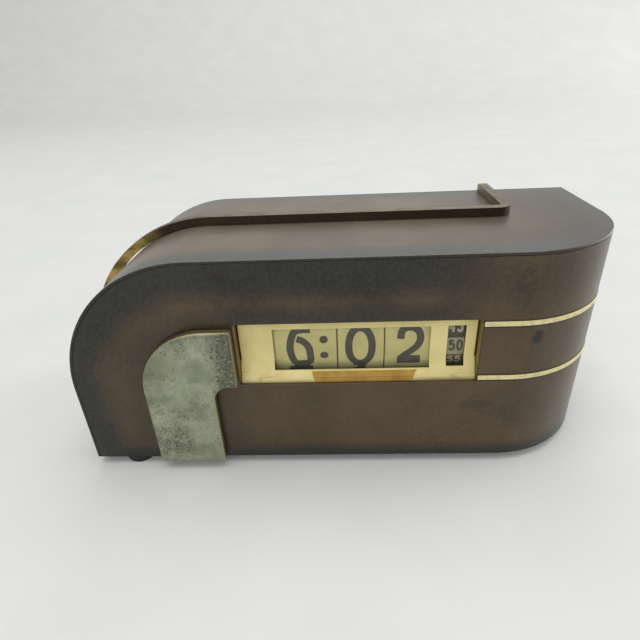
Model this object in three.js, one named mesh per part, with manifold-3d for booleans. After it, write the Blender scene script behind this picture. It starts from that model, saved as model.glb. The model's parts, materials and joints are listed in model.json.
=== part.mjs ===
// Electric number-drum clock in a streamlined sheet-metal case.
//
// Millimetres, +Z up, +X to the right along the front, front face toward -Y.
// Shapes are laid out in case coordinates: x = 0 at the case's left side, y = 0 at the front
// face, z = 0 at the case's bottom edge. The exported group moves them so that its origin is
// the middle of the clock's footprint, at the underside of the feet.

import * as THREE from 'three';
import { mergeVertices } from 'three/addons/utils/BufferGeometryUtils.js';
import Module from 'manifold-3d';

const wasm = await Module();
wasm.setup();

// ---------------------------------------------------------------- driving dimensions

// An arc or a circle is cut into twice this many straight pieces.
const ARC_STEPS = 10;
const SMALL_STEPS = 5;
const CORNER_STEPS = 2;

const CASE = { length: 196, depth: 76.7, height: 82, sheet: 1.2, shoulder: 49, nose: 40 };
const SEAM = 0.05; // gap between soldered sheets
const COVER_INSET = 2; // the back cover sits this far inside the rear edge
const PLATE_GAP = 0.3; // base plate and back cover to the case sheet

const FOOT = { radius: 5.8, neck: 4.6, drop: 3.5, stem: 2,
  points: [[15.3, 6.2], [15.5, 67], [158, 12], [182, 66]] };

const FENDER = { left: 27.2, right: 61.2, legRight: 52.4, bottom: 0.7, top: 57.8 };
const FENDER_SHAPE = { outerRadius: 24.2, notchTop: 35.2, notchRadius: 5.6, proud: 3.5, gap: 0.1 };
const FENDER_STUDS = [[39, 12], [44, 46]];

const BAR = { width: 3.5, height: 3.3, front: 36.5, cornerX: 162.6, lift: 0.1, bendRadius: 3.4 };
const BAR_ARC = { x: 49.4, z: 30, foot: 6 };
const BAR_SCREWS = [80, 124];
const BAR_SPACER = { z: 14, radius: 2.6 };

const OPENING = { left: 61.6, right: 145.4, bottom: 34.2, top: 58.8 };
const SLEEVE = { wall: 0.8, front: 1.5, rear: 8.4, foot: 32.2 };
const LENS = { front: 5.85, thickness: 0.3, left: 71, right: 144, bottom: 35, top: 57 };
const MASK = { face: 5.1, bendZ: 41.5, lipFace: 1.7, foot: 33, thickness: 0.6, side: 0.1, ear: 0.45 };
const NUMBER_WINDOW = { left: 74, right: 129.2, bottom: 37.7, top: 53.8 };
const SECONDS_WINDOW = { left: 135.1, right: 141.3, bottom: 38.1, top: 54 };
const STRIP = { left: 87.8, right: 123.8, top: 37.3, thickness: 0.15, gap: 0.05 };

const TRIM = { height: 1.8, thickness: 0.4, gap: 0.05, end: 75.2 };
const TRIM_LINES = { trim_line_upper: [145.5, 56.3], trim_line_lower: [145.5, 34.9] };

const DRUM = { radius: 32, rim: 1.4, web: 1.2, hub: 6.5, y: 38.4, z: 45.4 };
const DRUM_SPANS = { hours: [73, 96.5], tens: [96.9, 113.3], units: [113.7, 130.2] };
const DRUM_GAP = 0.4;
const SHAFT = { drum: 2, seconds: 1.5, setting: 1.8, fit: 0.06 };
const SECONDS = { radius: 13.4, left: 135, right: 141.5, y: 19.9, z: 44.6, rim: 1 };

// The single pairs of transfer teeth stop short of the pinions: toothTip clears a pinion's tips.
const TRANSFER = { ringTeeth: 24, pinionTeeth: 8, module: 1, toothTip: 11.2, bossRadius: 9.2, arm: 1.2,
  ringWidth: 2.4 };
const GEARING = { from: 130.6, to: 132.1, unitsTeeth: 20, idlerTeeth: 8, secondsTeeth: 12,
  toothTip: 5.2, bossRadius: 3.4 };
const SETTING = { y: 66, z: 45.4, gearTeeth: 12, idlerTeeth: 14, wheelRadius: 12.8, flutes: 36 };
const MOTOR = { teeth: 15, gearTeeth: 30, module: 1, from: 148, to: 149.6, y: 42.52, z: 44.6 };
const MESH_SLACK = 0.12; // added to each gear pair's centre distance

const FRAME = { front: 9.3, rear: 69, bottom: 2.5, top: 78.4, corner: 3, flange: 9 };
const PLATES = { frame_plate_left: [69, 70.2], frame_plate_middle: [132.7, 133.7],
  frame_plate_right: [145.9, 147.1] };
const POST = { radius: 2.4, points: [[12.6, 12], [65.5, 12], [12.6, 76], [65.5, 76]] };

const COVER_SCREWS = [[8, 10], [8, 30], [188, 10], [188, 71]];
const GROMMET = { x: 24, z: 16, bore: 3.3, neck: 4.6, flange: 6 };

// ---------------------------------------------------------------- materials

const FINISH = {
  bronze: [0x5e5144, 0.5, 0.8],
  bronze_light: [0x8a8076, 0.5, 0.8],
  plated: [0x949982, 0.45, 0.8],
  brass: [0xa8924c, 0.35, 0.95],
  dark_steel: [0x4b4a46, 0.5, 0.85],
  steel: [0x9a9a96, 0.4, 0.9],
  cream: [0xc3b982, 0.6, 0],
  amber: [0xc8964a, 0.5, 0],
  drum_cream: [0xbeb987, 0.55, 0],
  drum_black: [0x24241f, 0.6, 0],
  rubber: [0x1c1b1a, 0.85, 0],
  fibre: [0x3a2c20, 0.8, 0],
  copper: [0x9c5a32, 0.45, 0.7],
  clear: [0xe8efec, 0.05, 0],
};

// ---------------------------------------------------------------- solids

// A closed geometry as a solid that can be joined and cut.
function solid(geometry) {
  const bare = geometry.clone();
  bare.deleteAttribute('normal');
  bare.deleteAttribute('uv');
  const merged = mergeVertices(bare, 1e-4);
  return new wasm.Manifold(new wasm.Mesh({
    numProp: 3,
    vertProperties: Float32Array.from(merged.attributes.position.array),
    triVerts: Uint32Array.from(merged.index.array),
  }));
}

// The named mesh of a finished solid.
function piece(name, finish, shape) {
  const mesh = shape.getMesh();
  const geometry = new THREE.BufferGeometry();
  geometry.setAttribute('position', new THREE.BufferAttribute(mesh.vertProperties, 3));
  geometry.setIndex(new THREE.BufferAttribute(mesh.triVerts, 1));
  geometry.computeVertexNormals();
  const [color, roughness, metalness] = FINISH[finish];
  const material = new THREE.MeshStandardMaterial({ color, roughness, metalness });
  const node = new THREE.Mesh(geometry, material);
  node.name = name;
  return node;
}

function extrude(shape, depth, steps) {
  return new THREE.ExtrudeGeometry(shape, { depth, bevelEnabled: false, curveSegments: steps });
}

// A plan outline (x, y) raised from z = low to z = high.
function upright(shape, low, high, steps = ARC_STEPS) {
  return solid(extrude(shape, high - low, steps).translate(0, 0, low));
}

// A front-view outline (x, z) carried from y = front to y = rear.
function alongY(shape, front, rear, steps = ARC_STEPS) {
  return solid(extrude(shape, rear - front, steps).rotateX(Math.PI / 2).translate(0, rear, 0));
}

// An end-view outline (y, z) carried from x = left to x = right.
function alongX(shape, left, right, steps = ARC_STEPS) {
  const turn = new THREE.Matrix4().makeBasis(
    new THREE.Vector3(0, 1, 0), new THREE.Vector3(0, 0, 1), new THREE.Vector3(1, 0, 0));
  return solid(extrude(shape, right - left, steps).applyMatrix4(turn).translate(left, 0, 0));
}

function rectangle(x0, x1, y0, y1) {
  const shape = new THREE.Shape();
  shape.moveTo(x0, y0);
  shape.lineTo(x1, y0);
  shape.lineTo(x1, y1);
  shape.lineTo(x0, y1);
  shape.closePath();
  return shape;
}

function roundedRectangle(x0, x1, y0, y1, radius) {
  const shape = new THREE.Shape();
  shape.moveTo(x0 + radius, y0);
  shape.lineTo(x1 - radius, y0);
  shape.absarc(x1 - radius, y0 + radius, radius, -Math.PI / 2, 0, false);
  shape.lineTo(x1, y1 - radius);
  shape.absarc(x1 - radius, y1 - radius, radius, 0, Math.PI / 2, false);
  shape.lineTo(x0 + radius, y1);
  shape.absarc(x0 + radius, y1 - radius, radius, Math.PI / 2, Math.PI, false);
  shape.lineTo(x0, y0 + radius);
  shape.absarc(x0 + radius, y0 + radius, radius, Math.PI, Math.PI * 1.5, false);
  return shape;
}

function disc(x, y, radius) {
  const shape = new THREE.Shape();
  shape.absarc(x, y, radius, 0, Math.PI * 2, false);
  return shape;
}

function block(x0, x1, y0, y1, z0, z1) {
  return upright(rectangle(x0, x1, y0, y1), z0, z1);
}

// A turned piece. The profile's points are [radius, station along the axis], either way round.
function turned(profile, sides) {
  const area = profile.reduce((sum, [r, s], i) => {
    const [nextR, nextS] = profile[(i + 1) % profile.length];
    return sum + r * nextS - nextR * s;
  }, 0);
  const ordered = area < 0 ? [...profile].reverse() : profile;
  return new THREE.LatheGeometry(ordered.map(([r, s]) => new THREE.Vector2(r, s)), sides);
}

function turnedAlongX(profile, y, z, sides = 24) {
  return solid(turned(profile, sides).rotateZ(-Math.PI / 2).translate(0, y, z));
}

function turnedAlongY(profile, x, z, sides = 24) {
  return solid(turned(profile, sides).translate(x, 0, z));
}

function turnedAlongZ(profile, x, y, sides = 24) {
  return solid(turned(profile, sides).rotateX(Math.PI / 2).translate(x, y, 0));
}

function cylinderX(x0, x1, y, z, radius, steps = ARC_STEPS) {
  return alongX(disc(y, z, radius), x0, x1, steps);
}

// ---------------------------------------------------------------- gear geometry

// Outline of a spur gear centred at (y, z). `phase` is the angle of one tooth's centre line;
// `kept` says which teeth are there, and the rest of the rim stays at the root.
function gearOutline({ y, z, teeth, module, phase, kept = () => true, tip = null, root = null }) {
  const tipRadius = tip ?? pitchRadius(teeth, module) + 0.8 * module;
  const rootRadius = root ?? pitchRadius(teeth, module) - 1.15 * module;
  const step = Math.PI * 2 / teeth;
  const flank = [[-0.34, rootRadius], [-0.1, tipRadius], [0.1, tipRadius], [0.34, rootRadius]];
  const plain = [[-0.34, rootRadius], [0.34, rootRadius]];
  const shape = new THREE.Shape();
  let started = false;
  for (let tooth = 0; tooth < teeth; tooth += 1) {
    for (const [share, radius] of kept(tooth) ? flank : plain) {
      const angle = phase + (tooth + share) * step;
      const point = [y + radius * Math.cos(angle), z + radius * Math.sin(angle)];
      if (started) {
        shape.lineTo(...point);
      } else {
        shape.moveTo(...point);
        started = true;
      }
    }
  }
  shape.closePath();
  return shape;
}

function pitchRadius(teeth, module) {
  return teeth * module / 2;
}

// Angle of a tooth on gear B that meshes with gear A, whose tooth stands at phaseA.
// `direction` is the angle from A's centre to B's centre.
function meshingPhase(direction, phaseA, teethA, teethB) {
  return direction + Math.PI + Math.PI / teethB - (phaseA - direction) * teethA / teethB;
}

function angleFrom(a, b) {
  return Math.atan2(b.z - a.z, b.y - a.y);
}

// The point at distance ra from a and rb from b; side picks above (+1) or below (-1) the line.
function apart(a, ra, b, rb, side) {
  const span = Math.hypot(b.y - a.y, b.z - a.z);
  const along = (ra * ra - rb * rb + span * span) / (2 * span);
  const off = side * Math.sqrt(ra * ra - along * along);
  const uy = (b.y - a.y) / span;
  const uz = (b.z - a.z) / span;
  return { y: a.y + along * uy - off * uz, z: a.z + along * uz + off * uy };
}

// ---------------------------------------------------------------- outlines of the case

// Plan outline of the case, inset by `inset`, running back to y = rear.
function planOutline(inset, rear) {
  const { length, nose } = CASE;
  const shape = new THREE.Shape();
  shape.moveTo(inset, inset);
  shape.lineTo(length - nose, inset);
  shape.absarc(length - nose, nose, nose - inset, -Math.PI / 2, 0, false);
  shape.lineTo(length - inset, rear);
  shape.lineTo(inset, rear);
  shape.closePath();
  return shape;
}

// Front-view outline of the case, inset by `inset` at the left, top and right.
function frontOutline(inset, bottom, right = CASE.length - inset) {
  const { height, shoulder } = CASE;
  const shape = new THREE.Shape();
  shape.moveTo(right, bottom);
  shape.lineTo(right, height - inset);
  shape.lineTo(shoulder, height - inset);
  shape.absarc(shoulder, height - shoulder, shoulder - inset, Math.PI / 2, Math.PI, false);
  shape.lineTo(inset, bottom);
  shape.closePath();
  return shape;
}

const PLAN = upright(planOutline(0, CASE.depth), -5, CASE.height + 5);

// ---------------------------------------------------------------- case

function frontPanel() {
  const { length, depth, height, nose, sheet } = CASE;
  const wall = new THREE.Shape();
  wall.moveTo(0, 0);
  wall.lineTo(length - nose, 0);
  wall.absarc(length - nose, nose, nose, -Math.PI / 2, 0, false);
  wall.lineTo(length, depth);
  wall.lineTo(length - sheet, depth);
  wall.absarc(length - nose, nose, nose - sheet, 0, -Math.PI / 2, true);
  wall.lineTo(0, sheet);
  wall.closePath();
  const nested = alongY(frontOutline(sheet + SEAM, 0, length + 1), -1, depth + 1);
  const { left, right, bottom, top } = OPENING;
  let panel = upright(wall, 0, height).intersect(nested);
  panel = panel.subtract(block(left, right, -1, sheet + 1, bottom, top));
  for (const [x, z] of FENDER_STUDS) {
    panel = panel.subtract(alongY(disc(x, z, 1.7), -1, sheet + 1, SMALL_STEPS));
  }
  return piece('front_panel', 'bronze', panel);
}

function topPanel() {
  const { length, depth, height, shoulder, sheet } = CASE;
  const strip = new THREE.Shape();
  strip.moveTo(0, 0);
  strip.lineTo(sheet, 0);
  strip.lineTo(sheet, height - shoulder);
  strip.absarc(shoulder, height - shoulder, shoulder - sheet, Math.PI, Math.PI / 2, true);
  strip.lineTo(length, height - sheet);
  strip.lineTo(length, height);
  strip.lineTo(shoulder, height);
  strip.absarc(shoulder, height - shoulder, shoulder, Math.PI / 2, Math.PI, false);
  strip.closePath();
  let panel = alongY(strip, 0, depth).intersect(PLAN);
  const middle = BAR.front + BAR.width / 2;
  for (const x of BAR_SCREWS) {
    panel = panel.subtract(upright(disc(x, middle, 1.35), height - 3, height + 3, SMALL_STEPS));
  }
  panel = panel.subtract(cylinderX(-1, 3, middle, BAR_SPACER.z, 1.35, SMALL_STEPS));
  return piece('top_panel', 'bronze_light', panel);
}

function basePlate() {
  const inset = CASE.sheet + PLATE_GAP;
  const rear = CASE.depth - COVER_INSET - CASE.sheet - PLATE_GAP;
  let plate = upright(planOutline(inset, rear), 1, 2.2);
  for (const [x, y] of FOOT.points) {
    plate = plate.subtract(upright(disc(x, y, FOOT.stem + 0.1), 0, 4, SMALL_STEPS));
  }
  for (const [x, y] of FLANGE_SCREWS) {
    plate = plate.subtract(upright(disc(x, y, 1.35), 0, 4, SMALL_STEPS));
  }
  return piece('base_plate', 'dark_steel', plate);
}

function backCover() {
  const inset = CASE.sheet + PLATE_GAP;
  const rear = CASE.depth - COVER_INSET;
  let cover = alongY(frontOutline(inset, 1), rear - CASE.sheet, rear);
  const cut = (shape, steps) => {
    cover = cover.subtract(alongY(shape, rear - 5, rear + 5, steps));
  };
  for (const [x, z] of COVER_SCREWS) {
    cut(disc(x, z, 1.4), SMALL_STEPS);
  }
  cut(disc(GROMMET.x, GROMMET.z, GROMMET.neck + 0.1), ARC_STEPS);
  const [slotLeft, slotRight] = [SETTING_WHEEL.left - 0.8, SETTING_WHEEL.right + 0.8];
  cut(rectangle(slotLeft, slotRight, SETTING.z - 11.5, SETTING.z + 11.5), 1);
  for (let row = 0; row < 2; row += 1) {
    for (let slot = 0; slot < 7; slot += 1) {
      const x = 152 + slot * 5;
      const z = 22 + row * 28;
      cut(roundedRectangle(x, x + 2.4, z, z + 20, 1.1), CORNER_STEPS);
    }
  }
  return piece('back_cover', 'dark_steel', cover);
}

// An angle strip inside the case's side that the back cover's screws go into.
function coverBracket(name, side, wallX, top) {
  const rear = CASE.depth - COVER_INSET - CASE.sheet - PLATE_GAP;
  const inner = wallX + side;
  const tip = wallX + side * 12;
  let bracket = block(Math.min(wallX, inner), Math.max(wallX, inner), rear - 12, rear, 5, top);
  bracket = bracket.add(block(Math.min(wallX, tip), Math.max(wallX, tip), rear - 1, rear, 5, top));
  for (const [x, z] of COVER_SCREWS) {
    bracket = bracket.subtract(alongY(disc(x, z, 1.4), rear - 3, rear + 1, SMALL_STEPS));
  }
  return piece(name, 'steel', bracket);
}

function coverScrew(number, [x, z]) {
  const seat = CASE.depth - COVER_INSET + 0.05;
  const profile = [[0, seat - 5], [1.2, seat - 5], [1.2, seat], [2.6, seat], [2.6, seat + 0.7],
    [1.9, seat + 1.4], [0, seat + 1.6]];
  const slot = block(x - 3, x + 3, seat + 0.8, seat + 3, z - 0.35, z + 0.35);
  const screw = turnedAlongY(profile, x, z, 16).subtract(slot);
  return piece(`cover_screw_${number}`, 'steel', screw);
}

function cordGrommet() {
  const rear = CASE.depth - COVER_INSET;
  const front = rear - CASE.sheet;
  const { x, z, bore, neck, flange } = GROMMET;
  const profile = [[bore, front - 1.7], [flange, front - 1.7], [flange, front - 0.1],
    [neck, front - 0.1], [neck, rear + 0.1], [flange, rear + 0.1], [flange, rear + 1.2],
    [flange - 0.7, rear + 1.8], [bore, rear + 1.8], [bore, front - 1.7]];
  return piece('cord_grommet', 'rubber', turnedAlongY(profile, x, z, 24));
}

function foot(number, [x, y]) {
  const { radius, neck, drop, stem } = FOOT;
  const profile = [[0, 3.6], [stem + 0.8, 2.5], [stem + 0.8, 2.3], [stem, 2.3], [stem, 0.9],
    [neck, 0.9], [neck, -0.3], [radius, -0.3], [radius, -drop + 0.8], [radius - 0.8, -drop],
    [0, -drop]];
  return piece(`foot_${number}`, 'rubber', turnedAlongZ(profile, x, y, 20));
}

// ---------------------------------------------------------------- fender plate

function fenderOutline() {
  const { left, right, legRight, bottom, top } = FENDER;
  const { outerRadius, notchTop, notchRadius } = FENDER_SHAPE;
  const shape = new THREE.Shape();
  shape.moveTo(left, bottom);
  shape.lineTo(legRight, bottom);
  shape.lineTo(legRight, notchTop - notchRadius);
  shape.absarc(legRight + notchRadius, notchTop - notchRadius, notchRadius, Math.PI,
    Math.PI / 2, true);
  shape.lineTo(right, notchTop);
  shape.lineTo(right, top);
  shape.lineTo(left + outerRadius, top);
  shape.absarc(left + outerRadius, top - outerRadius, outerRadius, Math.PI / 2, Math.PI, false);
  shape.closePath();
  return shape;
}

function fender() {
  let plate = alongY(fenderOutline(), -FENDER_SHAPE.proud, -FENDER_SHAPE.gap);
  for (const [x, z] of FENDER_STUDS) {
    plate = plate.add(alongY(disc(x, z, 1.4), -1, 5, SMALL_STEPS));
  }
  return piece('fender_plate', 'plated', plate);
}

// The upper stud takes a nut; the lower one only locates the plate.
function fenderNut([x, z]) {
  const hexagon = new THREE.Shape();
  for (let corner = 0; corner < 6; corner += 1) {
    const angle = corner * Math.PI / 3;
    hexagon[corner ? 'lineTo' : 'moveTo'](x + 3.2 * Math.cos(angle), z + 3.2 * Math.sin(angle));
  }
  hexagon.closePath();
  hexagon.holes.push(disc(x, z, 1.5));
  return piece('fender_nut', 'brass', alongY(hexagon, CASE.sheet + 0.1, 3.6, SMALL_STEPS));
}

// ---------------------------------------------------------------- handle bar

function handleBar() {
  const { width, height, front, cornerX, lift, bendRadius } = BAR;
  const low = CASE.height + lift;
  const high = low + height;
  const outer = high - BAR_ARC.z;
  const inner = outer - height;
  const run = new THREE.Shape();
  run.moveTo(cornerX, low);
  run.lineTo(cornerX, high);
  run.lineTo(BAR_ARC.x, high);
  run.absarc(BAR_ARC.x, BAR_ARC.z, outer, Math.PI / 2, Math.PI, false);
  run.lineTo(BAR_ARC.x - outer, BAR_ARC.foot);
  run.lineTo(BAR_ARC.x - inner, BAR_ARC.foot);
  run.lineTo(BAR_ARC.x - inner, BAR_ARC.z);
  run.absarc(BAR_ARC.x, BAR_ARC.z, inner, Math.PI, Math.PI / 2, true);
  run.closePath();
  const leg = new THREE.Shape();
  leg.moveTo(cornerX - width, front);
  leg.lineTo(cornerX - bendRadius, front);
  leg.absarc(cornerX - bendRadius, front + bendRadius, bendRadius, -Math.PI / 2, 0);
  leg.lineTo(cornerX, CASE.depth);
  leg.lineTo(cornerX - width, CASE.depth);
  leg.closePath();
  const end = new THREE.Shape();
  end.moveTo(front, low);
  end.lineTo(CASE.depth, low);
  end.absarc(CASE.depth - height, low, height, 0, Math.PI / 2, false);
  end.lineTo(front, high);
  end.closePath();
  let bar = alongY(run, front, front + width);
  bar = bar.subtract(block(cornerX - width, cornerX + 1, front - 1, CASE.depth, low - 1, high + 1));
  const rearLeg = upright(leg, low, high, SMALL_STEPS)
    .intersect(alongX(end, cornerX - width - 1, cornerX + 1, SMALL_STEPS));
  bar = bar.add(rearLeg);
  const middle = front + width / 2;
  for (const x of BAR_SCREWS) {
    bar = bar.subtract(upright(disc(x, middle, 1.3), low - 1, low + 2.6, SMALL_STEPS));
  }
  bar = bar.subtract(cylinderX(BAR_ARC.x - inner - 2.6, 1, middle, BAR_SPACER.z, 1.3, SMALL_STEPS));
  return piece('handle_bar', 'brass', bar);
}

function handleSpacer() {
  const outer = BAR_ARC.x - (CASE.height + BAR.lift - BAR_ARC.z);
  const middle = BAR.front + BAR.width / 2;
  const shape = disc(middle, BAR_SPACER.z, BAR_SPACER.radius);
  shape.holes.push(disc(middle, BAR_SPACER.z, 1.35));
  return piece('handle_spacer', 'brass', alongX(shape, outer + 0.05, -0.05, SMALL_STEPS));
}

function handleScrew(number, x) {
  const seat = CASE.height - CASE.sheet - 0.05;
  const profile = [[0, seat - 1.8], [2.3, seat - 1.8], [2.3, seat], [1.15, seat],
    [1.15, seat + 3.6], [0, seat + 3.6]];
  const screw = turnedAlongZ(profile, x, BAR.front + BAR.width / 2, 16);
  return piece(`handle_screw_${number}`, 'steel', screw);
}

function handleSideScrew() {
  const seat = CASE.sheet + 0.05;
  const profile = [[0, seat - 5.3], [1.15, seat - 5.3], [1.15, seat], [2.3, seat],
    [2.3, seat + 1.8], [0, seat + 1.8]];
  const middle = BAR.front + BAR.width / 2;
  return piece('handle_screw_3', 'steel', turnedAlongX(profile, middle, BAR_SPACER.z, 16));
}

// ---------------------------------------------------------------- trim lines

function trimLine(name, [start, bottom]) {
  const { length, nose } = CASE;
  const { height, thickness, gap, end } = TRIM;
  const corner = length - nose;
  const band = new THREE.Shape();
  band.moveTo(start, -gap - thickness);
  band.lineTo(corner, -gap - thickness);
  band.absarc(corner, nose, nose + gap + thickness, -Math.PI / 2, 0, false);
  band.lineTo(length + gap + thickness, end);
  band.lineTo(length + gap, end);
  band.absarc(corner, nose, nose + gap, 0, -Math.PI / 2, true);
  band.lineTo(start, -gap);
  band.closePath();
  return piece(name, 'brass', upright(band, bottom, bottom + height));
}

// ---------------------------------------------------------------- display

// An inverted U of sheet round the opening's top and sides, with a flange behind the panel.
function displaySleeve() {
  const { left, right, bottom, top } = OPENING;
  const { wall, front, rear, foot } = SLEEVE;
  const frame = rectangle(left - wall, right + wall, foot, top + wall);
  const flange = rectangle(left - 4, right + wall, bottom + 3, top + 4);
  const hollow = alongY(rectangle(left, right, foot - 1, top), 0, rear + 1);
  const sleeve = alongY(frame, front, rear).add(alongY(flange, front, front + 0.6));
  return piece('display_sleeve', 'brass', sleeve.subtract(hollow));
}

function lens() {
  const shape = rectangle(LENS.left, LENS.right, LENS.bottom, LENS.top);
  return piece('window_lens', 'clear', alongY(shape, LENS.front, LENS.front + LENS.thickness));
}

// End view of a sheet that lies `off` in front of the mask's face, between two heights.
function maskBand(low, high, off, thickness) {
  const { face, bendZ, lipFace, foot } = MASK;
  const lean = (face - lipFace) / (bendZ - foot);
  const faceAt = (z) => face - Math.max(0, bendZ - z) * lean - off;
  const heights = high > bendZ && low < bendZ ? [low, bendZ, high] : [low, high];
  const shape = new THREE.Shape();
  heights.forEach((z, i) => shape[i ? 'lineTo' : 'moveTo'](faceAt(z), z));
  heights.reverse().forEach((z) => shape.lineTo(faceAt(z) + thickness, z));
  shape.closePath();
  return shape;
}

// The mask's upper part stands upright; its lower lip leans forward to the opening's edge.
function dialMask() {
  const { left, right, top } = OPENING;
  const { bendZ, foot, thickness, side, ear } = MASK;
  const band = maskBand(foot, top - 0.15, 0, thickness);
  let mask = alongX(band, left + side, right - side);
  for (const w of [NUMBER_WINDOW, SECONDS_WINDOW]) {
    mask = mask.subtract(block(w.left, w.right, 0, 9, w.bottom, w.top));
  }
  for (const edge of [left, right]) {
    mask = mask.subtract(block(edge - ear, edge + ear, 0, 9, bendZ, top + 1));
  }
  return piece('dial_mask', 'cream', mask);
}

function amberStrip() {
  const { left, right, top, thickness, gap } = STRIP;
  const band = maskBand(MASK.foot + 0.1, top, thickness + gap, thickness);
  return piece('amber_strip', 'amber', alongX(band, left, right));
}

// ---------------------------------------------------------------- number drums

// The hollow drum: a rim, one web at its left side and a hub that runs to `hubRight`.
function drumBody([left, right], hubRight) {
  const { radius, rim, web, hub, y, z } = DRUM;
  const bore = SHAFT.drum + SHAFT.fit;
  const profile = [[bore, left], [radius, left], [radius, right], [radius - rim, right],
    [radius - rim, left + web], [hub, left + web], [hub, hubRight], [bore, hubRight],
    [bore, left]];
  return turnedAlongX(profile, y, z, 36);
}

function ringGear(teeth, module, phase, left, right) {
  const outline = gearOutline({ y: DRUM.y, z: DRUM.z, teeth, module, phase });
  outline.holes.push(disc(DRUM.y, DRUM.z, SHAFT.drum + SHAFT.fit));
  return alongX(outline, left, right);
}

// A disc on the drum's left side with pairs of transfer teeth, one pair per entry in `pairs`.
function transferBoss(left, right, pairs) {
  const teeth = TRANSFER.ringTeeth;
  const outline = gearOutline({
    y: DRUM.y,
    z: DRUM.z,
    teeth,
    module: TRANSFER.module,
    phase: TRANSFER_DIRECTION + Math.PI / 4,
    kept: (tooth) => pairs.some((first) => tooth === first || tooth === first + 1),
    tip: TRANSFER.toothTip,
    root: TRANSFER.bossRadius,
  });
  outline.holes.push(disc(DRUM.y, DRUM.z, SHAFT.drum + SHAFT.fit));
  return alongX(outline, left, right);
}

const TRANSFER_DIRECTION = Math.PI; // the transfer pinions stand in front of the drum shaft
const TRANSFER_DISTANCE = pitchRadius(TRANSFER.ringTeeth, TRANSFER.module)
  + pitchRadius(TRANSFER.pinionTeeth, TRANSFER.module) + MESH_SLACK;
const PINION_AT = {
  y: DRUM.y + TRANSFER_DISTANCE * Math.cos(TRANSFER_DIRECTION),
  z: DRUM.z + TRANSFER_DISTANCE * Math.sin(TRANSFER_DIRECTION),
};

// Stations along the shaft of the transfer between two drums that meet at x = joint.
function transferStations(joint) {
  const armRight = joint - 2.8;
  const armLeft = armRight - TRANSFER.arm;
  const ringRight = armLeft - DRUM_GAP;
  return { bossLeft: joint - 2.4, armLeft, armRight, ringRight, ringLeft: ringRight - TRANSFER.ringWidth };
}

const HOURS_JOINT = (DRUM_SPANS.hours[1] + DRUM_SPANS.tens[0]) / 2;
const TENS_JOINT = (DRUM_SPANS.tens[1] + DRUM_SPANS.units[0]) / 2;

function hourDrum() {
  const at = transferStations(HOURS_JOINT);
  const ring = ringGear(TRANSFER.ringTeeth, TRANSFER.module, TRANSFER_DIRECTION, at.ringLeft, at.ringRight);
  const drum = drumBody(DRUM_SPANS.hours, at.ringLeft + 1).add(ring);
  return piece('hour_drum', 'drum_cream', drum);
}

function tensDrum() {
  const at = transferStations(TENS_JOINT);
  const ring = ringGear(TRANSFER.ringTeeth, TRANSFER.module, TRANSFER_DIRECTION, at.ringLeft, at.ringRight);
  const boss = transferBoss(transferStations(HOURS_JOINT).bossLeft, DRUM_SPANS.tens[0] + 0.5, [0, 12]);
  const drum = drumBody(DRUM_SPANS.tens, at.ringLeft + 1).add(ring).add(boss);
  return piece('tens_drum', 'drum_cream', drum);
}

function minuteDrum() {
  const ring = ringGear(GEARING.unitsTeeth, TRANSFER.module, UNITS_PHASE, GEARING.from, GEARING.to);
  const boss = transferBoss(transferStations(TENS_JOINT).bossLeft, DRUM_SPANS.units[0] + 0.5, [0]);
  const drum = drumBody(DRUM_SPANS.units, GEARING.from + 0.5).add(ring).add(boss);
  return piece('minute_drum', 'drum_cream', drum);
}

function transferArm(name, joint) {
  const { armLeft, armRight } = transferStations(joint);
  const { y, z } = DRUM;
  const arm = new THREE.Shape();
  arm.moveTo(y, z - 5);
  arm.absarc(y, z, 5, -Math.PI / 2, Math.PI / 2, false);
  arm.lineTo(PINION_AT.y, z + 3);
  arm.absarc(PINION_AT.y, z, 3, Math.PI / 2, Math.PI * 1.5, false);
  arm.closePath();
  arm.holes.push(disc(y, z, SHAFT.drum + SHAFT.fit));
  arm.holes.push(disc(PINION_AT.y, z, 1.2 + SHAFT.fit));
  return piece(name, 'steel', alongX(arm, armLeft, armRight));
}

function transferPinion(name, joint) {
  const { armLeft, armRight, ringLeft } = transferStations(joint);
  const teeth = TRANSFER.pinionTeeth;
  const phase = meshingPhase(TRANSFER_DIRECTION, TRANSFER_DIRECTION, TRANSFER.ringTeeth, teeth);
  const outline = gearOutline({ ...PINION_AT, teeth, module: TRANSFER.module, phase });
  const pinion = alongX(outline, ringLeft, armLeft - 0.2)
    .add(alongX(outline, armRight + 0.2, joint - 0.4))
    .add(cylinderX(ringLeft, joint - 0.4, PINION_AT.y, PINION_AT.z, 1.2));
  return piece(name, 'brass', pinion);
}

// ---------------------------------------------------------------- seconds train

const DRUM_AXIS = { y: DRUM.y, z: DRUM.z };
const SECONDS_AXIS = { y: SECONDS.y, z: SECONDS.z };
const UNITS_RADIUS = pitchRadius(GEARING.unitsTeeth, TRANSFER.module);
const IDLER_RADIUS = pitchRadius(GEARING.idlerTeeth, TRANSFER.module);
const SECONDS_RADIUS = pitchRadius(GEARING.secondsTeeth, TRANSFER.module);
const IDLER_AXIS = apart(DRUM_AXIS, UNITS_RADIUS + IDLER_RADIUS + MESH_SLACK,
  SECONDS_AXIS, SECONDS_RADIUS + IDLER_RADIUS + MESH_SLACK, 1);
const UNITS_PHASE = angleFrom(DRUM_AXIS, IDLER_AXIS);

function secondsIdler() {
  const phase = meshingPhase(UNITS_PHASE, UNITS_PHASE, GEARING.unitsTeeth, GEARING.idlerTeeth);
  const outline = gearOutline({ ...IDLER_AXIS, teeth: GEARING.idlerTeeth, module: TRANSFER.module, phase });
  outline.holes.push(disc(IDLER_AXIS.y, IDLER_AXIS.z, 1.2 + SHAFT.fit));
  return piece('seconds_idler', 'brass', alongX(outline, GEARING.from, GEARING.to));
}

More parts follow.
